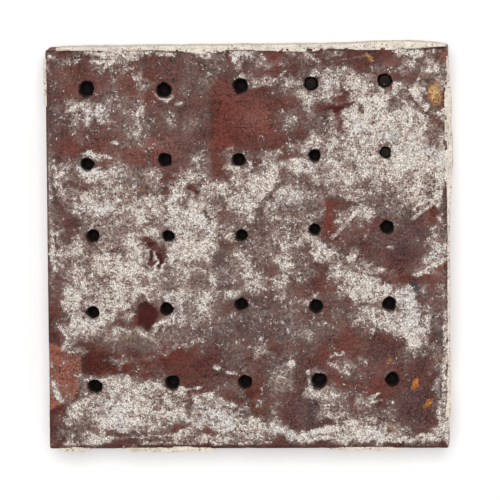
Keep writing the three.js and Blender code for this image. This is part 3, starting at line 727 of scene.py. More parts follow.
# Where lime lies on the back, patch by patch: the middle of the patch east and north in millimetres,
# half its length and half its width, the way it points in degrees, and how dense it is. Each quarter
# of the back is listed in rows from north to south.
LIME_PATCHES = [
    # The north-west quarter
    (-73, 73, 3, 1.4, 0, 0.4), (-66, 71.4, 5, 1.4, 0, 0.4), (-47, 74.4, 17, 1.5, 0, 0.95),
    (-47, 71.5, 7, 1.6, 0, 0.4), (-46, 68, 3, 1.6, 0, 0.4), (-41, 73, 3, 2, 0, 0.8),
    (-38, 73.6, 4, 1.2, 0, 0.5), (-3.3, 71.5, 1.8, 3.2, 10, 0.85), (-64.5, 56, 3.4, 2.2, 0, 0.8),
    (-63.4, 56.4, 1.6, 1.4, 0, 0.7), (-63, 56.6, 1.6, 1.4, 0, 0.6), (-63, 56.4, 1.4, 1.4, 0, 0.6),
    (-55, 64, 12, 5, 0, 0.2), (-40, 65, 2.2, 2.5, 0, 0.4), (-40, 56, 1.4, 4, 0, 0.35),
    (-38, 61.6, 4, 1.8, 0, 0.35), (-65, 48, 3, 4, 0, 0.3), (-64, 54, 4.5, 3.5, 30, 0.85),
    (-59.4, 48, 1.8, 1.4, 0, 0.5), (-56.5, 52.5, 4.5, 3, -25, 0.6), (-53.5, 49, 3, 2.5, 0, 0.4),
    (-50, 47, 22, 9, 0, 0.15), (-49, 54, 4, 2.4, 0, 0.25), (-46, 50, 3, 2, 0, 0.2),
    (-41, 52.6, 2.2, 3.4, 0, 0.4), (-39.4, 46, 2.4, 5, 0, 0.55), (-28, 49, 2, 3, 0, 0.4),
    (-66, 45, 3, 4, 0, 0.4), (-64.6, 42, 2.4, 2.4, 0, 0.35), (-62.6, 41, 3.4, 2, 0, 0.45),
    (-57, 35.5, 4, 1.4, 0, 0.45), (-7.4, 36, 2.4, 2, 0, 0.5), (-71, 27, 2.5, 6, 0, 0.5),
    (-68, 33, 2.4, 3, 0, 0.5), (-63.6, 33, 2, 2.4, 0, 0.45), (-57, 28.5, 5, 2.6, 0, 0.7),
    (-50, 28.5, 8, 2.5, 0, 0.4), (-48, 32, 6, 2, 0, 0.45), (-40, 28, 3, 3, 0, 0.45),
    (-35, 27, 3, 5, 0, 0.5), (-32, 28.6, 1.6, 2, 0, 0.6), (-24, 29.4, 5, 1.4, 0, 0.6),
    (-22, 26.6, 3, 2.4, 0, 0.7), (-18, 34, 3, 3, 0, 0.45), (-8, 34.6, 2, 3, 0, 0.5),
    (-7, 34, 2, 3, 0, 0.5), (-3, 26, 3, 5, 0, 0.6), (-74.4, 25, 1.4, 14, 0, 0.5),
    (-66, 25, 5, 4, 0, 0.4), (-65, 20.5, 5, 2, 0, 0.4), (-59.4, 19, 3.4, 1.8, 0, 0.65),
    (-58, 15, 8, 5, 0, 0.65), (-57, 24.6, 2.4, 2.4, 0, 0.6), (-56, 23.5, 6, 4, 0, 0.55),
    (-49, 15, 7, 5, 0, 0.6), (-47, 25, 7, 5, 0, 0.4), (-42, 15, 6, 5, 0, 0.6),
    (-36, 19.6, 4, 2.4, 0, 0.55), (-31, 20.6, 6, 1.2, 0, 0.5), (-27, 24, 4, 2, 0, 0.6),
    (-26, 21, 4, 3, 0, 0.6), (-25, 17, 7, 4, 0, 0.7), (-15, 24.2, 6, 1.4, 0, 0.55),
    (-14, 20.5, 5, 3.5, 0, 0.55), (-12, 16, 2.4, 2.4, 0, 0.6), (-9, 21.4, 3, 1.2, 0, 0.5),
    (-8.6, 24, 3, 2, -15, 0.5), (-3, 18, 5, 4, 0, 0.85), (-58, 6, 10, 3, 0, 0.2),
    (-48, 8, 9, 5, 0, 0.35), (-37, 14.5, 8, 4, 0, 0.75), (-37, 9, 4, 2.5, 0, 0.55),
    (-37, 6, 4, 2, 0, 0.7), (-27, 12.5, 4.5, 4, 0, 0.75), (-18, 9, 7, 8, 0, 0.75), (-7, 6, 3, 3, 0, 0.5),
    (-74.4, 0, 1.4, 12, 0, 0.45), (-70.4, 5, 1.6, 3, 0, 0.6), (-65, 2, 3, 3, 0, 0.4),
    (-54, 2.4, 5, 2, 0, 0.5), (-44, 1, 4, 4.5, 0, 0.85), (-32.4, 3.4, 2, 2, 0, 0.6),
    (-26, 4.6, 4.5, 4, 0, 0.55), (-14.5, 2, 3, 6, 0, 0.7),
    # The north-east quarter
    (0.4, 74, 2.6, 1.8, 0, 0.7), (4, 71.6, 3, 2, 0, 0.35), (8, 70.4, 2.4, 2, 0, 0.35),
    (24.6, 66.4, 2.4, 1.4, 0, 0.6), (25, 72, 4, 1.4, -35, 0.5), (33, 73.4, 3, 1.4, 0, 0.5),
    (57.6, 67.4, 1.8, 1.8, 0, 0.6), (61, 73, 6, 1.6, -8, 0.65), (62, 68, 4, 2, 0, 0.35),
    (69, 69, 2.6, 4, 0, 0.5), (72, 66, 2, 7, 0, 0.4), (75, 66, 0.9, 8, 0, 0.5),
    (8, 63.5, 9, 1.8, 2, 0.6), (18, 63.4, 4, 1.6, 10, 0.5), (22, 56, 4.5, 3, -50, 0.65),
    (27, 57.4, 4, 2.2, 0, 0.6), (29, 55, 5, 0.8, 10, 0.4), (30, 59, 4, 2.4, 0, 0.6),
    (31, 62, 3, 5, 0, 0.5), (31, 57.6, 3, 1.8, 10, 0.65), (36, 65, 8, 3.4, -12, 0.5),
    (37, 62, 2.4, 2.4, 0, 0.5), (41, 56, 4, 3, 0, 0.55), (43, 62, 4.4, 3.6, 0, 0.75),
    (50, 57, 4, 3, 0, 0.6), (51, 57, 4, 4, 0, 0.4), (55.6, 58.4, 2, 2, 0, 0.7),
    (57, 60.4, 2.4, 2, 0, 0.7), (64, 62, 2, 5, 0, 0.5), (64, 60, 4, 2.5, 0, 0.7),
    (66, 55, 5, 1.8, -40, 0.65), (20, 48, 8, 5, 0, 0.2), (32, 47.5, 2, 3, 0, 0.4),
    (33, 54.6, 4, 0.8, 10, 0.5), (40, 46, 4, 6, 0, 0.8), (47, 50, 9, 8, 0, 0.8), (56, 49, 7, 7, 0, 0.8),
    (72, 50, 2, 2, 0, 0.8), (2, 36, 6, 2.2, 0, 0.4), (9, 35, 4, 3, 0, 0.6), (21, 37.6, 5, 2, 0, 0.4),
    (22.4, 39, 2, 1.6, 0, 0.5), (25, 42, 3, 3, 0, 0.45), (28, 39.5, 3, 2.4, 0, 0.45),
    (33, 38, 4, 4, 0, 0.6), (33.6, 43, 2.6, 2, 0, 0.75), (37, 39, 3, 2.4, 0, 0.5),
    (37.4, 35, 1.6, 2, 0, 0.6), (45, 35, 6, 7, 0, 0.65), (53, 42.4, 6, 2.4, 0, 0.85),
    (62, 45, 6, 8, 0, 0.8), (73, 43, 2.4, 4, 0, 0.3), (0, 30.4, 1.6, 2, 0, 0.6), (9, 30, 3, 4, 0, 0.7),
    (13.4, 31, 1.6, 2, 0, 0.5), (15, 26, 3, 2, 0, 0.3), (20, 31, 6, 3.4, 0, 0.75),
    (28, 26, 4, 2, 0, 0.55), (31, 33.5, 7, 3, 0, 0.6), (35, 28, 9, 4.5, 0, 0.6), (46, 28, 6, 3, 0, 0.4),
    (58, 34, 9, 8, 0, 0.75), (66, 26, 5, 3, 0, 0.5), (68, 34, 6, 6, 0, 0.75), (73, 32, 2.2, 9, 0, 0.85),
    (3, 19, 4, 3, 0, 0.6), (5, 25, 6, 5, 45, 0.85), (8, 23, 3.4, 5, 0, 0.45), (8, 16, 2.4, 1.4, 0, 0.5),
    (15, 20, 6, 2.8, 25, 0.5), (18, 15, 5, 5, 0, 0.2), (20, 20, 8, 3, 0, 0.4), (27, 16, 3, 4, 0, 0.5),
    (42, 21, 12, 3.4, 0, 0.5), (44, 15, 4, 2, 20, 0.45), (49, 25, 1.6, 2.6, 0, 0.5),
    (56, 16, 7, 3, 0, 0.3), (56.6, 21.6, 3, 1.8, 0, 0.4), (58, 25, 8, 3, 0, 0.4), (62, 20, 5, 3, 0, 0.4),
    (65, 21, 5, 5, 0, 0.4), (65, 16, 3, 2.4, 0, 0.5), (72, 21, 2.5, 7, 0, 0.55),
    (72.6, 20, 1.4, 3, 0, 0.5), (0, 14, 2.5, 3, 0, 0.75), (16, 11, 5, 2.4, 0, 0.3),
    (37, 11, 6, 1.6, 40, 0.3), (44.5, 13.4, 4, 2.4, 0, 0.65), (44.6, 10.4, 3, 1.2, 0, 0.5),
    (5, 3, 5, 5, 0, 0.2), (10, 5, 26, 14, 0, 0.15), (13, 4, 4, 4, 0, 0.55), (18, 2.4, 4, 1.4, 0, 0.7),
    (23, 4, 3.5, 2, -45, 0.6), (26.6, 0.4, 5, 3, -55, 0.95), (71.5, 3, 3, 5, 0, 0.65),
    # The south-west quarter
    (-72, -4, 3, 3, 0, 0.3), (-67, -1, 6, 3, 0, 0.5), (-54, -5, 8, 5, 0, 0.65), (-53, -2, 2, 3, 0, 0.4),
    (-38, -1, 3, 1.8, 0, 0.5), (-34.6, -2.6, 0.8, 2.4, 0, 1.5), (-28.6, -2, 1.6, 4, 0, 0.85),
    (-28.4, -5, 1.6, 1.6, 0, 0.6), (-22, -1, 8, 4.5, 0, 0.95), (-2, -2, 3, 3, 0, 0.35),
    (-74, -6, 1.4, 5, 0, 0.6), (-67, -7, 5, 3, 0, 0.35), (-63, -13, 8, 5, 0, 0.55),
    (-49, -12.4, 3.4, 1.6, 0, 0.6), (-45, -7, 7, 4.4, 0, 0.7), (-41, -11, 5, 6, 0, 0.6),
    (-35, -13, 4, 6, 0, 0.55), (-34, -6.4, 4, 2, 0, 0.8), (-25, -9, 6, 3, 0, 0.4),
    (-14, -8, 7, 3, 0, 0.35), (-13.5, -13, 2, 4, 0, 0.45), (-4, -6, 3, 4, 0, 0.4),
    (-66, -19, 4, 5, 0, 0.7), (-65, -25, 3.4, 2, 0, 0.75), (-59.6, -20.8, 2.4, 1.4, 0, 0.7),
    (-54, -23, 4, 5, 60, 0.65), (-51, -17, 8, 4, 0, 0.55), (-47.5, -21, 3.6, 3.4, 0, 0.6),
    (-44, -24.6, 3, 1.4, 0, 0.5), (-40.6, -17, 4, 1.8, 0, 0.85), (-30.6, -17, 2, 3.4, 0, 0.7),
    (-26, -21, 5, 3, 0, 0.5), (-24, -24, 10, 10, 0, 0.25), (-23, -16, 6, 3, 0, 0.35),
    (-17, -21, 3, 5, 0, 0.6), (-14, -18, 3, 3, 0, 0.5), (-9, -17, 3, 2, 0, 0.5),
    (-8.6, -18, 2, 2, 0, 0.6), (-6, -17, 3.5, 3, 0, 0.55), (-5, -25, 4, 1, 0, 0.3),
    (-62, -28, 8, 3, 10, 0.8), (-61, -31, 5, 3, 0, 0.6), (-52, -33, 4, 1.6, 0, 0.5),
    (-48, -31, 6, 1.6, 0, 0.5), (-46, -26, 3, 3, 0, 0.35), (-39, -32, 5, 1.6, -20, 0.55),
    (-36.4, -28.6, 2, 1.8, 0, 0.6), (-36.4, -30, 3, 1.6, 0, 0.75), (-36, -28, 1.6, 2.4, 0, 0.6),
    (-31, -27, 6, 1.8, 15, 0.6), (-27, -28.6, 5, 1.4, 0, 0.6), (-24, -26.5, 4, 2, 0, 0.35),
    (-24, -34, 6, 3, 0, 0.15), (-19.4, -34, 2.4, 1.6, 0, 0.5), (-68, -36, 3, 5, -20, 0.45),
    (-64.6, -38, 4, 1.6, 0, 0.45), (-64, -45, 2, 5, 0, 0.2), (-52, -42, 5, 1.2, 8, 0.4),
    (-47, -43, 4, 1.4, 20, 0.5), (-46, -41.6, 7, 1.4, 4, 0.35), (-37, -41, 3, 1.4, 0, 0.5),
    (-28, -37.6, 9, 1.2, 12, 0.4), (-72, -54, 1.6, 4, 25, 0.5), (-62, -47, 1.6, 2, 0, 0.4),
    (-58, -48.4, 3, 1.2, 0, 0.5), (-50, -50, 9, 3.2, 0, 0.7), (-45, -52.4, 4, 2, 0, 0.6),
    (-36, -52, 6, 2.6, 0, 0.6), (-33, -50.6, 2, 2, 0, 0.6), (-68.4, -55, 1.6, 4, 0, 0.35),
    (-67, -63, 3.4, 4.4, 0, 0.65), (-65, -61.5, 3.4, 3, 0, 0.6), (-60, -58.4, 6, 2.4, 0, 0.65),
    (-55, -56, 8, 4.4, 0, 0.5), (-50, -64, 9, 4.5, 0, 0.9), (-45, -57, 9, 4, 0, 0.5),
    (-41, -56, 4, 1.4, 0, 0.5), (-36, -63, 8, 5, 0, 0.55), (-31, -57, 3, 1.4, -20, 0.8),
    (-28, -60, 4, 3, 0, 0.5), (-27, -55, 4, 1.8, -30, 0.55), (-27, -63, 5, 4, 0, 0.45),
    (-21, -56, 1.4, 2.6, 0, 0.8), (-20, -59, 2.4, 2, 0, 0.6), (-18, -63, 8, 4, 0, 0.6),
    (-14, -58, 5, 2.6, -20, 0.5), (-10, -57, 3, 1.6, 0, 0.5), (-8.6, -65, 5.4, 4, 0, 0.75),
    (-8, -59, 3, 1.2, 0, 0.5), (-65, -71, 6, 1.6, 0, 0.35), (-60, -71, 3, 1.4, 0, 0.5),
    (-59, -73, 5, 1.6, 0, 0.7), (-57, -72.8, 6, 1.2, 0, 0.7), (-55, -71.6, 4, 1.6, 0, 0.6),
    (-49, -68, 4.4, 2, 0, 0.5), (-45.6, -68.4, 4, 1.6, 0, 0.6), (-45.4, -68, 3, 1.4, 0, 0.7),
    (-45, -69.6, 3, 1.4, 0, 0.6), (-30, -72, 8, 0.9, 0, 0.2), (-25, -69.6, 5, 1.6, 0, 0.6),
    (-16.6, -67.4, 2, 1.2, 0, 0.6), (-14, -66.6, 8, 1.8, 0, 0.5), (-13, -71, 5, 1.2, 0, 0.6),
    (-13, -72.2, 8, 1, 0, 0.7), (-4, -70.2, 9, 1.6, 0, 0.45),
    # The south-east quarter
    (13, -4, 4, 3.5, 0, 0.5), (16, -3, 5, 3, 0, 0.2), (32, -1, 2, 4, -40, 0.5),
    (40, -2.5, 2.4, 2, 0, 0.7), (67, -4, 4, 3, 30, 0.5), (72, -3, 4, 3, 30, 0.6),
    (0, -7, 2.4, 5, 0, 0.5), (0, -12, 3.5, 5, -30, 0.5), (5, -12, 2.4, 4, 0, 0.4),
    (12, -12, 3, 4, -20, 0.45), (19, -8, 5, 4, 0, 0.45), (33, -11, 3, 2.4, -45, 0.5),
    (36, -9, 5, 2.5, -45, 0.55), (41, -14, 5, 5, 0, 0.8), (46, -13, 4, 3, 0, 0.7),
    (48, -8, 3, 1.2, 0, 0.4), (50, -8, 2, 2, 0, 0.45), (53.6, -13.4, 3, 1.6, 0, 0.6),
    (54.4, -12, 2.2, 3, 0, 0.5), (65, -6, 4, 2.4, 20, 0.5), (67, -10, 7, 1, 0, 0.45),
    (12, -18, 3, 2, 0, 0.5), (22, -20, 4, 1.2, 0, 0.45), (25, -17.6, 2.4, 1.4, 0, 0.45),
    (35.4, -18, 2, 2.4, 0, 0.5), (39.6, -19, 3, 1, 0, 0.6), (44, -24, 6, 3, 0, 0.45),
    (49, -17, 6, 3, 0, 0.65), (50, -22.4, 5, 1.6, 0, 0.6), (52, -25, 5, 4, 0, 0.55),
    (54, -15, 3, 1.8, 0, 0.4), (54.6, -18, 4, 1.4, -35, 0.7), (59, -17, 3, 5, 0, 0.8),
    (61, -24, 4.5, 5, 0, 0.85), (67, -16, 2, 2, 0, 0.4), (8, -28, 24, 8, 0, 0.2),
    (22, -33, 3.5, 3, 0, 0.4), (40, -28.4, 2.4, 1.6, 0, 0.5), (42, -27, 4, 1.2, 0, 0.4),
    (52, -30, 6, 2.4, -10, 0.6), (55, -33, 2.4, 2, 0, 0.75), (55.4, -31, 3, 2, 0, 0.6),
    (57, -29, 6, 3.5, -20, 0.75), (64, -34, 3.5, 5, -30, 0.75), (67, -28, 1.6, 3, -30, 0.6),
    (4, -37, 3, 4, 0, 0.35), (6, -40, 4, 2, 0, 0.4), (31, -36.4, 2, 1.4, 0, 0.4),
    (36, -44.5, 5, 2.2, 0, 0.3), (43, -43, 2.5, 2, 0, 0.5), (63, -35, 2.4, 2.6, 0, 0.9),
    (71, -41, 1.8, 4, 0, 0.25), (75.4, -35, 0.9, 5, 0, 0.7), (75.4, -36, 0.8, 6, 0, 0.8),
    (75.6, -40, 0.8, 6, 0, 0.8), (13, -50, 4, 5, 0, 0.4), (23, -54, 2.6, 3, 0, 0.55),
    (26, -46.5, 4, 1.2, 0, 0.5), (33, -54.6, 6, 3, 0, 0.65), (70.4, -53, 1.2, 3, 0, 0.5),
    (70.5, -50.6, 1.4, 3, 0, 0.7), (72, -50, 2, 5, 0, 0.55), (4.6, -58, 2.2, 2, 0, 0.45),
    (10, -64, 2.4, 4, 0, 0.5), (25, -57, 2.4, 2, 0, 0.5), (26, -55.6, 3, 1.4, 0, 0.45),
    (27.6, -61, 2.4, 4, 0, 0.4), (33, -60, 5, 3, 0, 0.35), (33, -63, 4, 1.6, 0, 0.5),
    (39, -64, 5, 2, 0, 0.25), (41.5, -58, 2, 2, 0, 0.5), (46, -58, 2.6, 1.4, 0, 0.5),
    (50, -62, 6, 3, 0, 0.35), (72.6, -60, 1.4, 6, 0, 0.3), (0, -72.6, 12, 0.9, 0, 0.25),
    (1, -66, 6, 3.2, -10, 0.75), (3, -71, 3, 1.4, 0, 0.6), (9, -68.5, 5, 2.2, 0, 0.75),
    (12, -69.4, 4, 2, 0, 0.6), (20, -70.5, 7, 2, 0, 0.6), (20.6, -69, 1.4, 1.8, 0, 0.6),
    (20.6, -71.6, 1.6, 2.4, 0, 0.7), (32, -68.7, 8, 1.8, 3, 0.8), (38, -68, 2.4, 1.4, 0, 0.6),
    (39, -66.8, 2.6, 2, 0, 0.7), (42, -70.6, 12, 2.8, 0, 0.9), (45, -71, 5, 1.2, 0, 0.6),
    (45, -72, 6, 1.2, 0, 0.7), (45, -72.6, 4, 1, 0, 0.6), (47, -65.4, 3, 1.6, 0, 0.6),
    (47, -72.4, 6, 1.2, 0, 0.6), (54, -67.4, 3, 1.4, 0, 0.5), (54, -70, 5, 2.5, 0, 0.6),
    (57, -71.5, 5, 1.8, 0, 0.7), (57, -72.4, 2.4, 1, 0, 0.6), (65, -72.4, 4, 1.4, 0, 0.8),
    (65, -73, 5, 1.6, 0, 0.55), (65.6, -72.6, 3, 1.2, 0, 0.6), (66, -72.4, 3, 1.2, 0, 0.7),
    (66, -73, 3, 1, 0, 0.8), (71.4, -69.4, 2.8, 3, 0, 0.8), (73, -67, 1.8, 5, 0, 0.8),
    (75.2, -70, 1.2, 5, 0, 1), (75.4, -68, 0.8, 5, 0, 1),
]

# Scrapes, dribbles and crumbs of lime: both ends, half the width and the density.
LIME_STROKES = [
    # The north-west quarter
    (-75.2, 69.6, -75, 67.6, 0.5, 0.9), (-58, 71, -51, 70.4, 0.5, 0.8),
    (-53.6, 67.4, -52.6, 69.4, 0.4, 0.9), (-33, 73.8, -27, 73.4, 0.6, 0.7),
    (-19, 73.4, -14, 72.6, 0.6, 0.7), (-1.6, 65.5, -1.4, 65, 0.7, 0.9),
    (-40.2, 66.3, -39.4, 63.5, 0.6, 0.7), (-35, 59.5, -33, 57.2, 0.3, 0.8),
    (-33, 57.2, -29.8, 56.2, 0.35, 0.8), (-29.8, 56.2, -27.8, 57.8, 0.3, 0.8),
    (-26.2, 55, -24.6, 55, 0.6, 0.7), (-59.6, 36.4, -57.4, 35.6, 0.8, 0.9),
    (-55, 36, -51.5, 34.8, 0.4, 0.7), (-50.6, 40.4, -48.8, 40, 0.4, 0.9), (-9, 37, -5.5, 38.4, 0.3, 0.4),
    (-72.4, 34, -72, 24, 0.3, 0.6), (-62.6, 30.4, -59, 28.8, 0.6, 0.9), (-59, 28.8, -55.6, 31, 0.5, 0.8),
    (-8.4, 31, -3.6, 30.8, 0.6, 0.6), (-73.6, 6, -73.4, -2, 0.4, 0.6),
    # The north-east quarter
    (6, 73, 7, 71.6, 0.4, 0.8), (14.8, 67.4, 13.2, 65.6, 0.3, 0.5), (15.6, 74, 18.4, 73.2, 0.5, 0.5),
    (30, 70, 45, 72.6, 0.25, 0.3), (56, 74, 66, 73.6, 0.6, 0.8), (68.5, 74.2, 73, 74, 0.4, 0.5),
    (66, 20, 72, 16, 0.5, 0.6), (43.5, 16.5, 32, 4, 0.5, 0.6), (62, 11, 70, 17, 0.5, 0.6),
    (71.8, 12, 72.4, 10.6, 0.6, 0.9), (53, 0.6, 55, 0.2, 0.35, 0.8),
    # The south-west quarter
    (-71, -29, -68, -33, 0.5, 0.8), (-75, -42, -74, -46, 0.3, 0.8),
    (-71.5, -44, -69.6, -42.6, 0.25, 0.7), (-68, -33, -70.4, -38, 0.4, 0.6),
    (-12.6, -44.6, -11.4, -45, 0.6, 0.9), (-75.2, -50, -71, -57.5, 0.7, 0.8),
    (-74, -51, -69, -51.5, 0.25, 0.7), (-58, -50, -48, -47.6, 0.4, 0.4),
    (-48, -47.6, -40, -49, 0.4, 0.3), (-29, -51.6, -24, -53, 0.5, 0.8),
    (-24, -53, -18, -52.4, 0.35, 0.6), (-8, -46.6, -4.4, -47, 0.3, 0.7),
    (-20, -55.6, -14, -54.4, 0.3, 0.6), (-6.4, -58, -5, -59, 0.5, 0.8), (-70, -73.4, -66, -74, 0.5, 0.8),
    (-55, -71.6, -30, -70.6, 0.35, 0.5), (-40, -73.4, -20, -73.8, 0.35, 0.6),
    (-12, -74, 8, -73.4, 0.3, 0.5), (-45, -75, -43, -75.2, 0.5, 0.8),
    # The south-east quarter
    (10.4, -4, 13.5, -6, 0.5, 0.7), (13.5, -6, 16.5, -6.4, 0.8, 0.9), (64, -10, 74, -4.4, 0.7, 0.7),
    (66.4, -33, 67.6, -36.6, 0.5, 0.6), (15.6, -44, 16.6, -43.4, 0.7, 0.9),
    (31, -40.6, 36, -39.4, 0.4, 0.7), (74.2, -24, 74, -66, 0.3, 0.7), (6, -51, 4.5, -55, 0.3, 0.5),
    (22.6, -46.4, 23.6, -52, 0.5, 0.7), (30, -43, 38, -47.4, 0.4, 0.6),
    (73.6, -42, 73.4, -56, 0.35, 0.7), (50, -57, 44, -59.6, 0.3, 0.6), (46, -56.6, 49, -55, 0.4, 0.8),
    (72.4, -58, 72, -64, 0.5, 0.7), (16, -69, 19, -71.6, 0.6, 0.8), (22, -72.4, 31, -71.4, 0.5, 0.8),
    (23, -69.4, 36, -67.8, 0.6, 0.95), (36, -67.8, 48, -68.2, 0.8, 0.95), (60, -73, 68, -71.4, 0.5, 0.7),
]

# Where the lime was knocked off again, as patches.
BARE_PATCHES = [
    # The north-west quarter
    (-53, 69.6, 1.6, 1.6, 0, 0.6), (-53, 67, 1.4, 3, 0, 0.5), (-30.4, 73.6, 2.4, 1, 0, 0.6),
    (-30, 74, 3, 1.4, 0, 0.5), (-27, 69, 6, 5, 0, 0.6), (-7, 72.4, 1.4, 2, 0, 0.6),
    (-6.4, 72, 1.2, 2.4, 0, 0.7), (-68, 56, 3.4, 3, 0, 0.4), (-62, 62, 13, 7, 0, 0.55),
    (-30, 56, 8, 4, 0, 0.5), (-62.6, 52, 2, 1.2, 0, 0.6), (-57, 52, 0.9, 2.4, 0, 0.5),
    (-8, 48, 9, 16, 0, 0.9), (-68, 40, 6, 10, 0, 0.5), (-61, 40, 12, 4, 0, 0.3),
    (-44, 35, 14, 4, 0, 0.3), (-38.6, 45, 1.6, 4, 0, 0.6), (-72.6, 26, 1.4, 4, 0, 0.5),
    (-47, 26, 5, 2, 0, 0.4), (-40, 28, 2.4, 1.2, 0, 0.6), (-20, 28, 2, 5, 0, 0.4),
    (-62, 24, 8, 2, -12, 0.6), (-45, 16, 6, 3, 0, 0.35), (-32, 22.6, 2.6, 1, 35, 0.9),
    (-23.4, 18, 1.6, 3, 0, 0.5), (-21, 22.4, 2.4, 1.1, 0, 0.9), (-12.6, 18.4, 1.8, 1.4, 0, 0.6),
    (-61, 13.6, 1.6, 0.5, 0, 0.8), (-52, 12.6, 8, 2, 0, 0.4), (-37, 9.6, 3, 1.4, 0, 0.5),
    (-30, 14, 8, 3, 0, 0.25), (-19, 6, 5, 3, 0, 0.35), (-15.4, 14, 1, 1.8, 20, 0.9),
    (-69, 4, 2, 2.4, 0, 0.6), (-36.5, 2.4, 2, 1, 0, 3),
    # The north-east quarter
    (13, 73, 6, 1.6, 0, 0.3), (14, 74, 5, 1.6, 0, 0.4), (46.2, 71.8, 1.4, 0.9, -30, 3),
    (63, 66, 1.6, 4, 0, 0.6), (13, 63, 2, 3, 0, 0.4), (27, 58, 3, 1.6, 0, 0.4), (28, 55, 4, 1, 22, 0.5),
    (32, 59.6, 3, 1, 0, 0.4), (54, 55, 3, 2, 0, 0.55), (56, 65, 6, 3, 0, 0.5),
    (70.4, 58, 2.6, 3.6, 20, 0.9), (0, 48, 14, 12, 0, 0.5), (20.6, 53, 1.6, 3, 0, 0.5),
    (35, 53, 4.2, 1.1, 14, 3), (37, 52.6, 2.4, 1, 0, 0.5), (42, 52.6, 1.2, 0.7, 0, 0.8),
    (47.5, 47.6, 1.6, 0.6, 20, 0.8), (55, 52.6, 3, 1.2, 0, 0.3), (57.6, 48.6, 2, 0.6, 10, 0.5),
    (22.4, 41.4, 2, 1.2, 0, 0.5), (32, 43, 2.4, 1.4, 0, 0.4), (35, 36, 3, 3, 0, 0.3),
    (71, 39, 2, 1.6, 0, 0.5), (18, 34, 4, 1, 0, 0.6), (41.4, 30.4, 2, 1.6, 0, 0.6),
    (62, 27, 3, 3, 0, 0.35), (8, 20, 3, 1.6, 20, 0.5), (27, 16, 2, 2.6, 0, 0.4),
    (69, 20.6, 3, 1.2, 30, 0.5), (12, 6, 7, 1.8, 0, 0.35), (31, 12, 3, 7, 0, 0.7),
    (70, 14, 2.6, 4, 0, 0.9), (70, 10.4, 2, 2, 0, 0.4), (34, 0.4, 2, 2, 0, 0.6), (35, 3, 3, 2, 0, 0.4),
    (57, 0, 10, 8, 0, 0.5), (72.4, 5, 1.4, 3, 0, 0.5),
    # The south-west quarter
    (-48, -1.4, 1, 3, 0, 0.5), (-36.6, -2.6, 1.2, 1.8, 0, 3), (-33.2, -4, 1, 2, 0, 3),
    (-39, -13, 3, 3, 0, 0.4), (-38, -6.6, 3, 1.4, 0, 0.6), (-45, -22.4, 3, 1.4, 0, 0.5),
    (-38.5, -24, 3.4, 4.6, 10, 3), (-24, -23, 1.4, 3, 0, 0.5), (-12, -18, 3, 1.2, 0, 0.5),
    (-9, -24.4, 4, 1.4, 0, 0.5), (-38, -29, 2.4, 2, 0, 0.8), (-30, -33, 6, 1.2, -10, 0.5),
    (-18, -29, 2, 1.4, 0, 0.5), (-12, -26, 6, 3, 0, 0.25), (-72.4, -40, 1.6, 3.4, 0, 0.6),
    (-72, -38, 1.8, 3, 0, 0.5), (-71.4, -40, 2.4, 3, 0, 0.8), (-60, -44, 8, 3.6, 0, 0.8),
    (-39, -41, 9, 3, 0, 0.6), (-5, -35, 5, 2, 0, 0.5), (-70, -48, 5, 8, 0, 0.75),
    (-52, -48, 2.4, 1, 0, 0.5), (-40, -47.4, 4, 1.4, 0, 0.6), (-30, -53, 1.4, 2, 0, 0.5),
    (-20, -53.6, 1.6, 2.6, 0, 0.4), (-18, -47, 12, 6, 0, 0.7), (-5, -50, 5, 2, 0, 0.5),
    (-65, -63, 1.6, 2, 0, 0.5), (-57, -57, 2, 2.4, 0, 0.4), (-37, -61, 4, 1.4, 0, 0.4),
    (-7, -55.6, 2, 2.4, 0, 0.7), (-5, -57, 4, 1.6, 0, 0.6), (-1.4, -57, 3, 1.8, 0, 0.6),
    (-69, -74, 4, 1.4, 0, 0.6), (-52.4, -69, 2, 2, 0, 0.5), (-38, -70.6, 3, 1.2, 0, 0.5),
    (-38, -71, 4, 1.4, 0, 0.5), (-30, -73.6, 10, 0.9, 0, 0.6), (-27, -74, 8, 1, 0, 0.6),
    (-26, -66.4, 4, 1.6, 10, 0.8), (-12, -70, 3, 1, 0, 0.5),
    # The south-east quarter
    (20, -5, 3, 5, 0, 0.4), (43, -2, 2.4, 2, -45, 0.5), (46, -2, 1.6, 3, 0, 0.6),
    (46, -10.4, 3, 1.2, 0, 0.5), (58, -12.4, 6, 2.6, 0, 0.95), (62.6, -14.8, 1.8, 1.6, 0, 1),
    (63.6, -6, 3, 1.6, 0, 0.6), (5, -19, 2, 3, 0, 0.4), (42, -22.6, 3, 1.4, 0, 0.4),
    (70, -20, 2, 1.4, 0, 0.5), (4, -31, 7, 5, 0, 0.5), (30.4, -27, 2.4, 1.6, 0, 0.6),
    (73, -27, 1.2, 2.4, 0, 0.7), (13, -41.6, 3, 1.8, 0, 0.4), (40, -36, 16, 4, 0, 0.6),
    (46, -44, 3, 2.6, 0, 0.5), (44, -52, 14, 4, 0, 0.6), (62.8, -51.6, 1.6, 1.4, 20, 3),
    (65, -46, 4, 3, 0, 0.3), (66, -50, 6, 9, 0, 0.75), (74, -48, 1, 3, 0, 0.7),
    (74.4, -50, 1.2, 4, 0, 0.5), (9, -63, 2, 1.8, 0, 0.5), (20, -63, 6, 4, 0, 0.7),
    (49, -63.4, 3, 2.4, 0, 0.5), (62, -62, 7, 7, 0, 0.7), (68, -58.2, 1.5, 1.1, 30, 3),
    (5, -70, 4, 1.4, 0, 0.35), (31, -70, 6, 1.2, 0, 0.3), (53.6, -68, 2, 1.3, 0, 0.9),
]

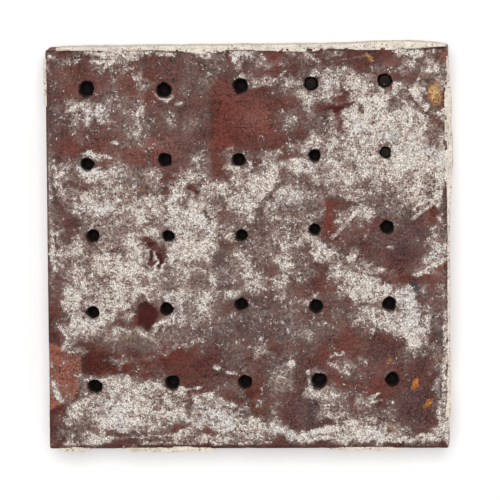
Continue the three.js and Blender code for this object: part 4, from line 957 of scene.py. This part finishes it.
# Stains and differences in the clay's own colour: the colours, and the patches of each. A later one
# lies over those before it.
DULL_RED = srgb(109, 54, 44)
GREY_BROWN = srgb(94, 68, 65)
LIME_WASH = srgb(120, 104, 98)
BUFF_WASH = srgb(152, 132, 112)
BRICK_RED = srgb(136, 82, 71)
DEEP_RED = srgb(88, 36, 28)
BLOOD_RED = srgb(64, 20, 15)
SLATE = srgb(58, 62, 68)
SANDY = srgb(192, 150, 102)
RUST = srgb(202, 126, 56)
CLAY_TINTS = [
    (DULL_RED, [
        (-60, 66, 9, 6, 0, 0.4), (14, 71, 7, 4, 0, 0.7), (-32, 60, 12, 5, 0, 0.4),
        (-8, 46, 6, 12, 0, 0.9), (2, 50, 10, 8, 0, 0.3), (-55, 38, 14, 4, 0, 0.5),
        (72, 45, 3, 7, 0, 0.5), (31, 12, 3.5, 8, 15, 0.8), (70, 14, 3, 5, 0, 0.9),
        (6, -7, 3, 14, 5, 0.6), (26, -14, 6, 5, 0, 0.4), (45, -12, 14, 5, 0, 0.3),
        (70, -7, 4, 4, 0, 0.6), (27, -24, 4, 4, 0, 0.5), (42, -40, 16, 5, 0, 0.4),
        (45, -53, 10, 5, 0, 0.4), (-1, -56, 5, 4, 0, 0.7), (-27, -67.5, 5, 2, 10, 0.7)
    ]),
    (GREY_BROWN, [
        (0, 68, 12, 4, 0, 0.3), (68, 60, 5, 9, 0, 0.4), (-73, 50, 2.6, 16, 0, 0.5),
        (-44, 45, 9, 9, 0, 0.3), (-72.6, 25, 3, 14, 0, 0.6), (-64, 11, 8, 3, 0, 0.5),
        (58, 4, 12, 10, 0, 0.8), (10, -21, 14, 4, 0, 0.5), (-14, -34, 12, 6, 0, 0.4),
        (8, -30, 16, 5, 0, 0.5), (-66, -36, 5, 3, 0, 0.3), (53, -40, 14, 5, 0, 0.6),
        (22, -62, 9, 6, 0, 0.9), (62, -60, 9, 10, 0, 0.8)
    ]),
    (LIME_WASH, [
        (28, 66, 4, 4, 0, 0.5), (-26, 50, 6, 24, 0, 0.25), (-43, 44, 5, 8, 0, 0.3),
        (-74.6, 16, 1.6, 26, 0, 0.8), (-24, -12, 12, 9, 0, 0.6), (-6, -10, 9, 8, 0, 0.5),
        (40, -20, 14, 5, 0, 0.3), (0, -30, 12, 5, 0, 0.2), (24, -32, 9, 4, 0, 0.5),
        (-40, -36, 14, 2.4, 0, 0.5), (-12, -50, 5, 3, 0, 0.4), (15, -47, 10, 6, 0, 0.3)
    ]),
    (BUFF_WASH, [
        (-72, -2, 3, 4, 0, 0.3), (34, -3, 4, 4, 0, 0.3), (-20, -12, 7, 5, 0, 0.5),
        (13, -14, 3, 2, 30, 0.5), (-34, -15, 5, 5, 0, 0.6), (-20, -24, 6, 5, 0, 0.5),
        (-40, -32, 14, 2.4, -3, 0.75), (-50, -48.6, 6, 1, 0, 0.5)
    ]),
    (BRICK_RED, [
        (74, 72, 1.8, 4, 0, 1.5), (-5, 57, 5, 2, 0, 0.4), (-44, 54, 5, 6, 0, 0.3),
        (4, 49, 10, 6, 0, 0.35), (-50, 38, 20, 7, 0, 0.35), (-35, 36, 6, 8, 0, 0.2)
    ]),
    (DEEP_RED, [
        (-57, -43, 10, 4.4, 0, 0.9), (-31, -40, 9, 4, 0, 0.6), (-40, -45.6, 14, 2.6, 0, 0.9),
        (-14, -48, 8, 4, 0, 0.4)
    ]),
    (BLOOD_RED, [
        (28, 55, 4, 1, 24, 0.6), (34, 63, 1.2, 1.6, 0, 0.7), (35, 53, 4.4, 1.1, 14, 3),
        (42, 52.5, 1.6, 0.8, 0, 0.8), (-32, 22.6, 2, 0.8, 35, 3), (-21, 22.4, 2, 0.9, 0, 3),
        (-15.4, 14, 1, 1.8, 20, 0.7), (69.6, 13, 2, 2.4, 0, 0.3), (-36.6, -2.6, 1.2, 1.8, 0, 3),
        (-36.5, 2.4, 2, 1, 0, 3), (-33.2, -4, 1, 2, 0, 3), (-38.5, -24, 3.6, 4.8, 10, 3),
        (-73.4, -33, 1.6, 9, 0, 0.8), (-38, -29, 2.6, 2.4, 0, 0.9), (-63, -43, 4, 4, 0, 0.6),
        (-19.4, -44.4, 2.4, 2, 40, 0.5), (-74, -62, 2.4, 9, 0, 0.6), (-28, -56.4, 4, 0.8, 0, 0.6),
        (-4, -55, 2.6, 1.2, 20, 0.8), (0, -55.6, 2, 1.6, 0, 0.7), (-72, -70, 3, 4, 0, 0.7)
    ]),
    (SLATE, [
        (73, 64, 1, 5, 0, 0.7), (66, 7, 3, 2, 0, 0.2), (62.6, -14.8, 1.8, 1.6, 0, 2),
        (4, -24, 8, 3, 0, 0.25), (35, -24, 3, 2, 0, 0.3), (66, -17, 2.6, 2, 0, 0.5),
        (68.6, -26, 2, 3, 20, 0.5), (71.6, -31, 2, 5, 0, 0.8), (26, -62, 4, 4, 0, 0.35),
        (72.6, -55, 1.8, 8, 0, 0.7)
    ]),
    (SANDY, [
        (46.2, 71.8, 1.3, 0.8, -30, 3), (67.6, 66.4, 1.3, 1.2, 0, 2), (70.4, 58, 2.6, 3.6, 20, 1.4),
        (72, 61, 1.4, 3, 0, 0.6), (53.6, -68, 2, 1.3, 0, 0.9)
    ]),
    (RUST, [
        (-38.6, 22.6, 3, 0.6, 0, 0.5), (-69.2, -3, 0.8, 1, 0, 0.6), (73, -5.6, 1.6, 0.8, 30, 0.7),
        (53, -43.4, 1.4, 1, 0, 0.3), (62.8, -51.6, 1.5, 1.3, 20, 3), (68, -58.2, 1.4, 1, 30, 3),
        (-75, -73, 0.7, 0.7, 0, 0.6), (42, -74.6, 1, 0.5, 0, 0.6)
    ]),
]

# Scratches and creases in the clay, painted dark as the shade in them; the lines down the east edge are
# painted shadow of the gap under the mortar: both ends, half the width and the strength.
CREASES = [
    (24, 64.6, 38.6, 70.3, 0.22, 0.7), (38.6, 70.3, 50, 74.6, 0.2, 0.5),
    (10.3, 58.1, 24, 64.6, 0.3, 0.7), (-73.8, 60, -73.4, 36, 0.3, 0.5), (51.6, 45.2, 54, 47.4, 0.3, 0.6),
    (29, 36, 36, 39, 0.2, 0.5), (44, 42.6, 51, 40.2, 0.25, 0.6), (74.3, 62, 74.2, 8, 0.32, 0.85),
    (-72.8, 38, -72.2, 12, 0.25, 0.7), (-71.6, 22, -71.9, 2, 0.2, 0.5), (62, 1, 68, -4, 0.25, 0.4),
    (74.2, 8, 74.4, -30, 0.2, 0.5), (5, -9, 5.4, -23, 0.25, 0.4), (-66, -38.6, -56, -36.6, 0.3, 0.5),
    (-62.8, -41, -63.6, -57, 0.35, 0.9), (-24, -48, -14.5, -48.6, 0.3, 0.7),
    (73.9, -36, 73.8, -66, 0.32, 0.85), (14, -63, 30, -60.4, 0.3, 0.4), (-72, -66, -52, -75, 0.2, 0.3),
    (-60, -70.6, -57.4, -74, 0.3, 0.7), (-57.6, -70, -55.4, -74.6, 0.3, 0.7),
    (-70, -72.6, -20, -73.4, 0.25, 0.7), (-66, -74.4, -8, -74.2, 0.25, 0.7),
    (-8, -74.2, 44, -74.8, 0.22, 0.6),
]

# The back's own colours, and how deep it is pressed, broken and worn.
BACK_CLAY = srgb(100, 58, 51)
PANEL_CLAY = srgb(104, 78, 73)
# The colour of the painted shade in the creases and along the edges.
CREASE_SHADE = srgb(62, 42, 38)
FRESH_CLAY = srgb(150, 92, 76)
SIDE_CLAY = srgb(112, 70, 60)
PANEL_EAST = -13.3 * MM           # the stamped band down the back, set a little below the rest
PANEL_WEST = -24.6 * MM
PANEL_SOUTH = 24 * MM
PANEL_DEPTH = 0.12 * MM
CREASE_DEPTH = 0.12 * MM
SPALL_DEPTH = 1.8 * MM
# The broken facets of the spall: where each starts on the back, which way it faces and how steeply
# it falls.
SPALL_FACETS = [(-63.4, -46, 178, 0.42), (-66.5, -38.6, 247, 0.5), (-66.5, -56.5, 118, 0.36),
                (-64.4, -52, 160, 0.4)]
SPALL_RIPPLE = 0.08 * MM
PATCH_CORE, PATCH_REACH = 0.4, 1.5  # a patch fades out between these shares of its half size
STROKE_CORE, STROKE_REACH = 0.5, 2.2
SPARSE_LIME = 0.15                # how dense the lime is on average where no patch lies
EDGE_STRIP = 75 * MM              # how far out from the middle the strips along the edges lie
EDGE_FADE = 2 * MM
SWELL_HEIGHT = 0.11 * MM
RIPPLE_HEIGHT = 0.05 * MM
CRUST_RELIEF = 0.16 * MM
HOLE_DISH = 0.22 * MM             # how far the clay is worn down round a key hole
HOLE_DISH_REACH = 0.9 * MM
RIM_FALL = 0.14 * MM              # how far it is worn down along the edges of the back
RIM_FALL_REACH = 1.6 * MM


def strayed(points, amount, size, seed):
    """Points moved about at random in plan, which gives what is laid on them a ragged edge."""
    moved = points.copy()
    moved[:, 0] += amount * waves(points, size, 3, seed)
    moved[:, 1] += amount * waves(points, size, 3, seed + 1)
    return moved


def patches_over(points, patches):
    """How much the listed patches cover each point, from 0 to 1. Strengths above 1 give crisp edges."""
    left = np.ones(len(points))
    for east, north, half_length, half_wide, turn, strength in patches:
        across, up = points[:, 0] - east * MM, points[:, 1] - north * MM
        cosine, sine = math.cos(math.radians(turn)), math.sin(math.radians(turn))
        reach = np.hypot((across * cosine + up * sine) / (half_length * MM),
                         (up * cosine - across * sine) / (half_wide * MM))
        left *= 1 - np.minimum(strength * soft_step(-reach, -PATCH_REACH, -PATCH_CORE), 1)
    return 1 - left


def strokes_over(points, strokes):
    """How much the listed strokes cover each point, from 0 to 1."""
    left = np.ones(len(points))
    for east, north, to_east, to_north, half_wide, strength in strokes:
        start = np.array((east, north)) * MM
        way = np.array((to_east, to_north)) * MM - start
        share = np.clip((points[:, :2] - start) @ way / (way @ way), 0, 1)
        reach = np.hypot(*(points[:, :2] - start - share[:, None] * way).T) / (half_wide * MM)
        left *= 1 - strength * soft_step(-reach, -STROKE_REACH, -STROKE_CORE)
    return 1 - left


def in_panel(points):
    """1 for the points in the stamped band down the back, 0 outside it."""
    share = soft_step(points[:, 0], PANEL_WEST, PANEL_WEST + 1.5 * MM)
    share *= soft_step(-points[:, 0], -PANEL_EAST - 0.3 * MM, -PANEL_EAST + 0.3 * MM)
    return share * soft_step(points[:, 1], PANEL_SOUTH, PANEL_SOUTH + 3 * MM)


def rim_distance(points):
    """How far inside the outline of the back each point is."""
    return np.maximum(half_width(BACK_TOP) - np.maximum(abs(points[:, 0]), abs(points[:, 1])), 0)


def lime_on_back(points):
    """How densely lime covers each point of the back, from 0 to 1.

    It is rubbed off the arrises, except on the mortared east side, and out of the creases along the
    south side.
    """
    ragged = strayed(strayed(points, 2.2 * MM, 7 * MM, 11), 1.3 * MM, 2.4 * MM, 19)
    bare = patches_over(ragged, BARE_PATCHES)
    cover = patches_over(ragged, LIME_PATCHES) * (1 - bare)
    sparse = SPARSE_LIME + 0.1 * in_panel(points) + 0.34 * waves(points, 9 * MM, 4, 13)
    sparse = np.clip(sparse, 0.02, 0.5)
    fine = strayed(points, 0.5 * MM, 1.5 * MM, 15)
    lime = 1 - (1 - cover) * (1 - sparse * (1 - 0.95 * bare)) * (1 - strokes_over(fine, LIME_STROKES))
    creased = strokes_over(fine, CREASES)
    south_strip = soft_step(-points[:, 1], EDGE_STRIP - EDGE_FADE, EDGE_STRIP)
    rubbed = np.minimum(creased, 0.8 * south_strip)
    edge = soft_step(-rim_distance(points), -0.9 * MM, -0.3 * MM)
    edge *= 1 - soft_step(points[:, 0], EDGE_STRIP - EDGE_FADE, EDGE_STRIP)
    return lime * (1 - 0.8 * edge) * (1 - rubbed)


def tint_of_back(points):
    """The clay's own colour at each point of the back.

    It is darkened with painted shade in the key holes, in the creases and along the edges, least so to the
    west, and fresh where the flake broke off.
    """
    ragged = strayed(points, 1.6 * MM, 5 * MM, 17)
    tint = np.tile(np.array(BACK_CLAY), (len(points), 1))
    for colour, patches in CLAY_TINTS:
        cover = patches_over(ragged, patches)[:, None]
        tint = tint * (1 - cover) + np.array(colour) * cover
    # Painted shade along the rounded edges of the back, least to the west, and in the creases.
    edge = soft_step(-rim_distance(ragged), -1.8 * MM, -0.6 * MM)
    west_strip = soft_step(-points[:, 0], EDGE_STRIP - 1.5 * EDGE_FADE, EDGE_STRIP - 0.5 * EDGE_FADE)
    edge *= 0.5 - 0.35 * west_strip
    creased = strokes_over(strayed(points, 0.25 * MM, 1.2 * MM, 25), CREASES)
    dark = np.maximum(edge, 0.8 * creased)
    tint = tint * (1 - dark[:, None]) + np.array(CREASE_SHADE) * dark[:, None]
    band = 0.4 * in_panel(points)[:, None]
    tint = tint * (1 - band) + np.array(PANEL_CLAY) * band
    fresh = soft_step(BACK_TOP - spall_floor(points), 0.02 * MM, 0.12 * MM)[:, None]
    broken = np.array(FRESH_CLAY) * (1 + 0.4 * waves(points, 3 * MM, 3, 35)[:, None])
    return shaded_down_holes(points, tint * (1 - fresh) + np.clip(broken, 0, 1) * fresh)


def back_relief(points, lime):
    """How far the back's worn surface stands above its moulded level at each point."""
    relief = SWELL_HEIGHT * waves(points, 16 * MM, 2, 21) + RIPPLE_HEIGHT * waves(points, 3 * MM, 3, 22)
    relief += CRUST_RELIEF * soft_step(lime, 0.3, 0.9) * (0.7 + 0.5 * waves(points, 1.6 * MM, 2, 23))
    relief -= HOLE_DISH * np.exp(-np.maximum(hole_distance(points), 0) / HOLE_DISH_REACH)
    relief -= PANEL_DEPTH * in_panel(points) + CREASE_DEPTH * strokes_over(points, CREASES)
    return relief - RIM_FALL * np.exp(-rim_distance(points) / RIM_FALL_REACH)


def spall_floor(points):
    """The level of the broken surface where the flake came off the west edge."""
    ragged = strayed(points, 0.7 * MM, 3 * MM, 31)
    depth = np.full(len(points), SPALL_DEPTH)
    for east, north, faces, slope in SPALL_FACETS:
        inward = np.array((math.cos(math.radians(faces)), math.sin(math.radians(faces))))
        depth = np.minimum(depth, (ragged[:, :2] - np.array((east, north)) * MM) @ inward * slope)
    ripples = SPALL_RIPPLE * waves(points, 2.5 * MM, 2, 33)
    return BACK_TOP - np.clip(depth + ripples * (depth > 0.1 * MM), 0, SPALL_DEPTH)


def sculpt_back(mesh):
    """Wears the back, gives it its relief and lowers it where the flake is gone."""
    wear_clay(mesh, depth=0.06 * MM, chip_depth=0.45 * MM, seed=3)
    points = points_of(mesh)
    lime = lime_on_back(points)
    nearness = soft_step(points[:, 2], BACK_TOP - 1.2 * MM, BACK_TOP - 0.3 * MM)
    points[:, 2] += back_relief(points, lime) * nearness
    gone = np.maximum(BACK_TOP - spall_floor(points), 0) / (BACK_TOP - BACK_LOW.z)
    points[:, 2] -= (points[:, 2] - BACK_LOW.z) * gone
    move_points(mesh, points)


sculpt_back(back_layer.data)
back_points = points_of(back_layer.data)
on_top = soft_step(back_points[:, 2], BACK_TOP - 2.6 * MM, BACK_TOP - 1.9 * MM)
down_side = side_lime(back_points) * (hole_distance(back_points) > 0)
store_number(back_layer.data, "lime", on_top * lime_on_back(back_points) + (1 - on_top) * down_side)
side_tint = shaded_down_holes(back_points, np.tile(SIDE_CLAY, (len(back_points), 1)))
store_colour(back_layer.data, "tint",
             tint_of_back(back_points) * on_top[:, None] + side_tint * (1 - on_top[:, None]))
back_paint = limed_clay("weathered_back_clay", PALE_GROG, grog_share=0.12, void_share=0.8,
                        haze_share=0.85, roughness=0.85)
paint(back_layer, back_paint)

# The mortar on the back
# Eight islands where old lime mortar still lies thick, each a crust bonded to the clay. Its skin
# follows the relief of the back, is pitted down to the clay, and feathers out into the film round it.

CRUST_STEP = 0.5 * MM
CRUST_THICK = 0.3 * MM
CRUST_DIP = 0.1 * MM              # the skin dips this far under the clay where the crust is missing
CRUST_ROOT = 0.35 * MM            # how deep the crust's hidden underside lies in the clay
CRUST_FEATHER = 2 * MM            # how far in from its rim a crust gets its full thickness
CRUST_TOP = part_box("mortar_crust_middle")[1].z - SKIN


def crust_sheet(node):
    """A flat sheet over the outline of a packed crust, and the places of its rim."""
    shape = node_shape(node)
    tree = BVHTree.FromBMesh(shape)
    shape.free()
    low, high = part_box(node)
    reach = max(high.x - low.x, high.y - low.y) / 2
    cuts = round(2 * reach / CRUST_STEP)
    sheet = bmesh.new()
    bmesh.ops.create_grid(sheet, x_segments=cuts, y_segments=cuts, size=reach)
    middle = ((low.x + high.x) / 2, (low.y + high.y) / 2, BACK_TOP)
    bmesh.ops.translate(sheet, vec=middle, verts=sheet.verts)
    above, down = Vector((0, 0, 5 * MM)), Vector((0, 0, -1))
    outside = [face for face in sheet.faces
               if tree.ray_cast(face.calc_center_median() + above, down)[0] is None]
    bmesh.ops.delete(sheet, geom=outside, context="FACES")
    rim = np.array([vert.co[:2] for vert in sheet.verts if vert.is_boundary])
    bmesh.ops.solidify(sheet, geom=sheet.faces[:], thickness=CRUST_ROOT)
    bmesh.ops.recalc_face_normals(sheet, faces=sheet.faces)
    return sheet, rim


def sculpt_crust(mesh, rim, seed):
    """Gives a crust's skin the back's relief and its own thickness, and stores its lime and its tint."""
    points = points_of(mesh)
    middle = (points[:, 2].min() + points[:, 2].max()) / 2
    skin = points[:, 2] > middle
    lime = lime_on_back(points)
    inside = np.sqrt(np.min(np.square(points[:, None, 0] - rim[:, 0])
                            + np.square(points[:, None, 1] - rim[:, 1]), axis=1))
    body = soft_step(inside + 1.4 * MM * waves(points, 4 * MM, 3, seed), 0.3 * MM, CRUST_FEATHER)
    whole = soft_step(waves(points, 3.2 * MM, 4, seed + 1) + 2.4 * (lime - 0.64), -0.25, 0.2)
    lumps = 0.75 + 0.45 * waves(points, 1.3 * MM, 3, seed + 2)
    lime_left = (CRUST_THICK + CRUST_DIP) * body * whole * lumps
    skin_level = BACK_TOP + back_relief(points, lime) - CRUST_DIP + lime_left
    points[:, 2] = np.where(skin, np.minimum(skin_level, CRUST_TOP), BACK_TOP - CRUST_ROOT - HOLE_DISH)
    move_points(mesh, points)
    store_number(mesh, "lime", np.clip(lime + 0.1 * body * whole, 0, 1))
    store_colour(mesh, "tint", tint_of_back(points))


crust_paint = limed_clay("lime_crust", PALE_GROG, grog_share=0.12, void_share=0.8, haze_share=0.85,
                         roughness=0.9)
crust_nodes = [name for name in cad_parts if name.startswith("mortar_crust")]
for number, node in enumerate(crust_nodes):
    sheet, rim = crust_sheet(node)
    piece = new_piece(node.removeprefix("mortar_"), sheet, "lime_mortar", node)
    sculpt_crust(piece.data, rim, 60 + 5 * number)
    paint(piece, crust_paint)

# The mortar on the sides and in the holes
# Sandy lime that came away with the tile when it was lifted: thick to the north and the east, patches
# elsewhere, all lapping a little over the edge of the back. Three key holes still hold a plug of it.

COAT_STEP = 0.42 * MM
COAT_HOLLOWS = 0.5 * MM           # how far the rough mortar falls short of its outline
COAT_SPREAD = 3.4 * MM            # how far the broken edges of a coat are softened
COAT_SOUND = 0.6 * MM             # a coat at least this thick holds, and thinner it comes off in flakes
COAT_LOST = 0.48                  # below this soundness a coat is gone
COAT_HELD = 0.76                  # above this soundness it is whole
COAT_FLAKE = 8 * MM
COAT_SUNK = 0.25 * MM             # where a coat has come off, its skin dips this far under the clay
LAP_FALL = 0.6 * MM
LAP_ROOT = 0.5 * MM
COAT_GAP = 0.3 * MM
PLUG_STEP = 0.22 * MM
PLUG_HOLLOWS = 0.6 * MM
SAND_SIZE = 0.75 * MM
PASTE_COLOUR = srgb(246, 234, 220)
PALE_SAND = srgb(196, 168, 130)
DARK_SAND = srgb(108, 84, 68)
DIRT_COLOUR = srgb(150, 132, 116)
# The plugs are coloured near black as painted shade deep in their key holes, not as pale mortar.
PLUG_SHADE_COLOUR = srgb(38, 31, 27)


def rough_mortar(node, step):
    """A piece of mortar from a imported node, remade in small even faces of a size in metres."""
    piece = new_piece(node.removeprefix("mortar_"), node_shape(node), "lime_mortar", node)
    even = piece.modifiers.new("even", "REMESH")
    even.mode = "VOXEL"
    even.voxel_size = step
    apply_modifiers(piece)
    piece.data.shade_smooth()
    return piece


def coat_soundness(node, points, along, across):
    """How soundly a side coat sits on the clay at each point: 1 within it, less to its foot and ends."""
    shape = node_shape(node)
    tree = BVHTree.FromBMesh(shape)
    shape.free()
    low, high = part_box(node)
    outward = math.copysign(1, low[across] + high[across])
    places = np.arange(low[along], high[along], COAT_STEP)
    levels = np.arange(low.z, high.z, COAT_STEP)
    found = np.zeros((len(places), len(levels)))
    start, way = Vector((0, 0, 0)), Vector((0, 0, 0))
    start[across], way[across] = outward, -outward
    for row, place in enumerate(places):
        for column, level in enumerate(levels):
            start[along], start.z = place, level
            hit = tree.ray_cast(start, way)[0]
            if hit:
                found[row, column] = min((abs(hit[across]) - half_width(level)) / COAT_SOUND, 1)
    reach = round(2 * COAT_SPREAD / COAT_STEP)
    weights = np.exp(-0.5 * np.square(np.arange(-reach, reach + 1) * COAT_STEP / COAT_SPREAD))
    weights /= weights.sum()
    found = np.pad(np.pad(found, ((reach, reach), (reach, 0))), ((0, 0), (0, reach)), mode="edge")
    for axis in (0, 1):
        found = np.apply_along_axis(np.convolve, axis, found, weights, "valid")
    rows = np.clip((points[:, along] - low[along]) / COAT_STEP, 0, len(places) - 1).astype(int)
    columns = np.clip((points[:, 2] - low.z) / COAT_STEP, 0, len(levels) - 1).astype(int)
    return found[rows, columns]


def sculpt_coat(mesh, node, seed):
    """Hollows a side coat from outside, feathers it onto the clay, and makes its lap ragged.

    Where the coat has come off, its skin goes just under the clay.
    """
    low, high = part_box(node)
    across = 0 if abs(low.x + high.x) > abs(low.y + high.y) else 1
    inset = Vector((SKIN, SKIN, SKIN))
    points = points_of(mesh)
    normals = normals_of(mesh)
    clay = half_width(points[:, 2])
    clear = np.maximum(abs(points[:, 0]), abs(points[:, 1])) - clay
    outside = soft_step(clear, COAT_GAP, 2 * COAT_GAP)
    uneven = 0.45 + 0.6 * waves(points, 6 * MM, 3, seed) + 0.3 * waves(points, 1.3 * MM, 3, seed + 1)
    moved = points - normals * (COAT_HOLLOWS * outside * np.clip(uneven, 0.02, 1.4))[:, None]
    sound = coat_soundness(node, points, 1 - across, across)
    sound += 0.55 * waves(points, COAT_FLAKE, 5, seed + 3)
    sound += 0.4 * soft_step(points[:, 2], BACK_TOP - 5 * MM, BACK_TOP)
    left = soft_step(sound, COAT_LOST, COAT_HELD)
    reach = abs(moved[:, across])
    kept = clay - COAT_SUNK * (1 - left) + (reach - clay) * left
    moved[:, across] = np.copysign(np.where(clear > 0, kept, reach), moved[:, across])
    over_clay = soft_step(-clear, -COAT_GAP, COAT_GAP)
    ragged = soft_step(waves(points, 2.4 * MM, 4, seed + 2), -0.05, 0.45)
    lap = over_clay * soft_step(points[:, 2], BACK_TOP + 0.15 * MM, BACK_TOP + 0.3 * MM)
    moved[:, 2] -= LAP_FALL * ragged * lap + LAP_ROOT * over_clay * (1 - lap)
    move_points(mesh, np.clip(moved, Vector(low) + inset, Vector(high) - inset))


def make_sandy_lime():
    """Old lime mortar: a chalky paste full of sand, grey with dirt in its hollows."""
    tree, given, result = new_group(
        "sandy_lime",
        [("Paste", "Color", PASTE_COLOUR), ("Sand Share", "Float", 0.3), ("Dirt Share", "Float", 0.3)],
        [("Colour", "Color"), ("Height", "Float")])
    where = coordinates(tree)
    cells = shader_node(tree, "TexVoronoi", {"Vector": where, "Scale": 1 / SAND_SIZE}).outputs
    picks = shader_node(tree, "SeparateColor", {"Color": cells["Color"]}).outputs
    shown = ramp(tree, minus(tree, given["Sand Share"], picks["Red"]), -0.02, 0.02)
    grains = times(tree, ramp(tree, cells["Distance"], 0.5, 0.36), shown)
    sand = blend(tree, ramp(tree, picks["Green"], 0.45, 0.75), PALE_SAND, DARK_SAND)
    clouds = grain(tree, where, 5 * MM, 4, 0.6)
    fine = grain(tree, where, 0.6 * MM, 3, 0.6)
    tone = plus(tree, ramp(tree, clouds, 0.3, 0.7, -0.14, 0.06), ramp(tree, fine, 0.3, 0.7, 0.84, 1.12))
    paste = shader_node(tree, "HueSaturation", {"Value": tone, "Color": given["Paste"]}).outputs[0]
    dirty = times(tree, ramp(tree, grain(tree, where, 3 * MM, 5, 0.65), 0.45, 0.68), given["Dirt Share"])
    paste = blend(tree, dirty, paste, DIRT_COLOUR)
    join(tree, blend(tree, times(tree, grains, 0.85), paste, sand), result["Colour"])
    join(tree, plus(tree, times(tree, grains, 0.45), times(tree, fine, 0.55)), result["Height"])
    return tree


def mortar_paint(name, paste, sand_share, dirt_share):
    """Rough lime mortar, dry and chalky."""
    material, tree, shader = new_material(name)
    body = use_group(tree, sandy_lime, {"Paste": paste, "Sand Share": sand_share, "Dirt Share": dirt_share})
    join(tree, body["Colour"], shader["Base Color"])
    join(tree, bump(tree, body["Height"], 0.3 * MM), shader["Normal"])
    shader["Roughness"].default_value = 0.95
    shader["Specular IOR Level"].default_value = 0.2
    return material


sandy_lime = make_sandy_lime()
side_paint = mortar_paint("sandy_side_mortar", PASTE_COLOUR, sand_share=0.2, dirt_share=0.34)
# Painted shade: the plugs in the key holes are near black.
plug_shade_paint = mortar_paint("plug_mortar_painted_shade", PLUG_SHADE_COLOUR, sand_share=0, dirt_share=0)
for number, node in enumerate(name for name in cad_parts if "_side" in name):
    coat = rough_mortar(node, COAT_STEP)
    sculpt_coat(coat.data, node, 110 + 5 * number)
    paint(coat, side_paint)
for number, node in enumerate(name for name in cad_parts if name.startswith("mortar_plug")):
    plug = rough_mortar(node, PLUG_STEP)
    plug_points = points_of(plug.data)
    uneven = 0.5 + 0.6 * waves(plug_points, 2 * MM, 3, 150 + number)
    hollow = PLUG_HOLLOWS * np.clip(uneven, 0, 1)
    move_points(plug.data, plug_points - normals_of(plug.data) * (0, 0, 1) * hollow[:, None])
    paint(plug, plug_shade_paint)
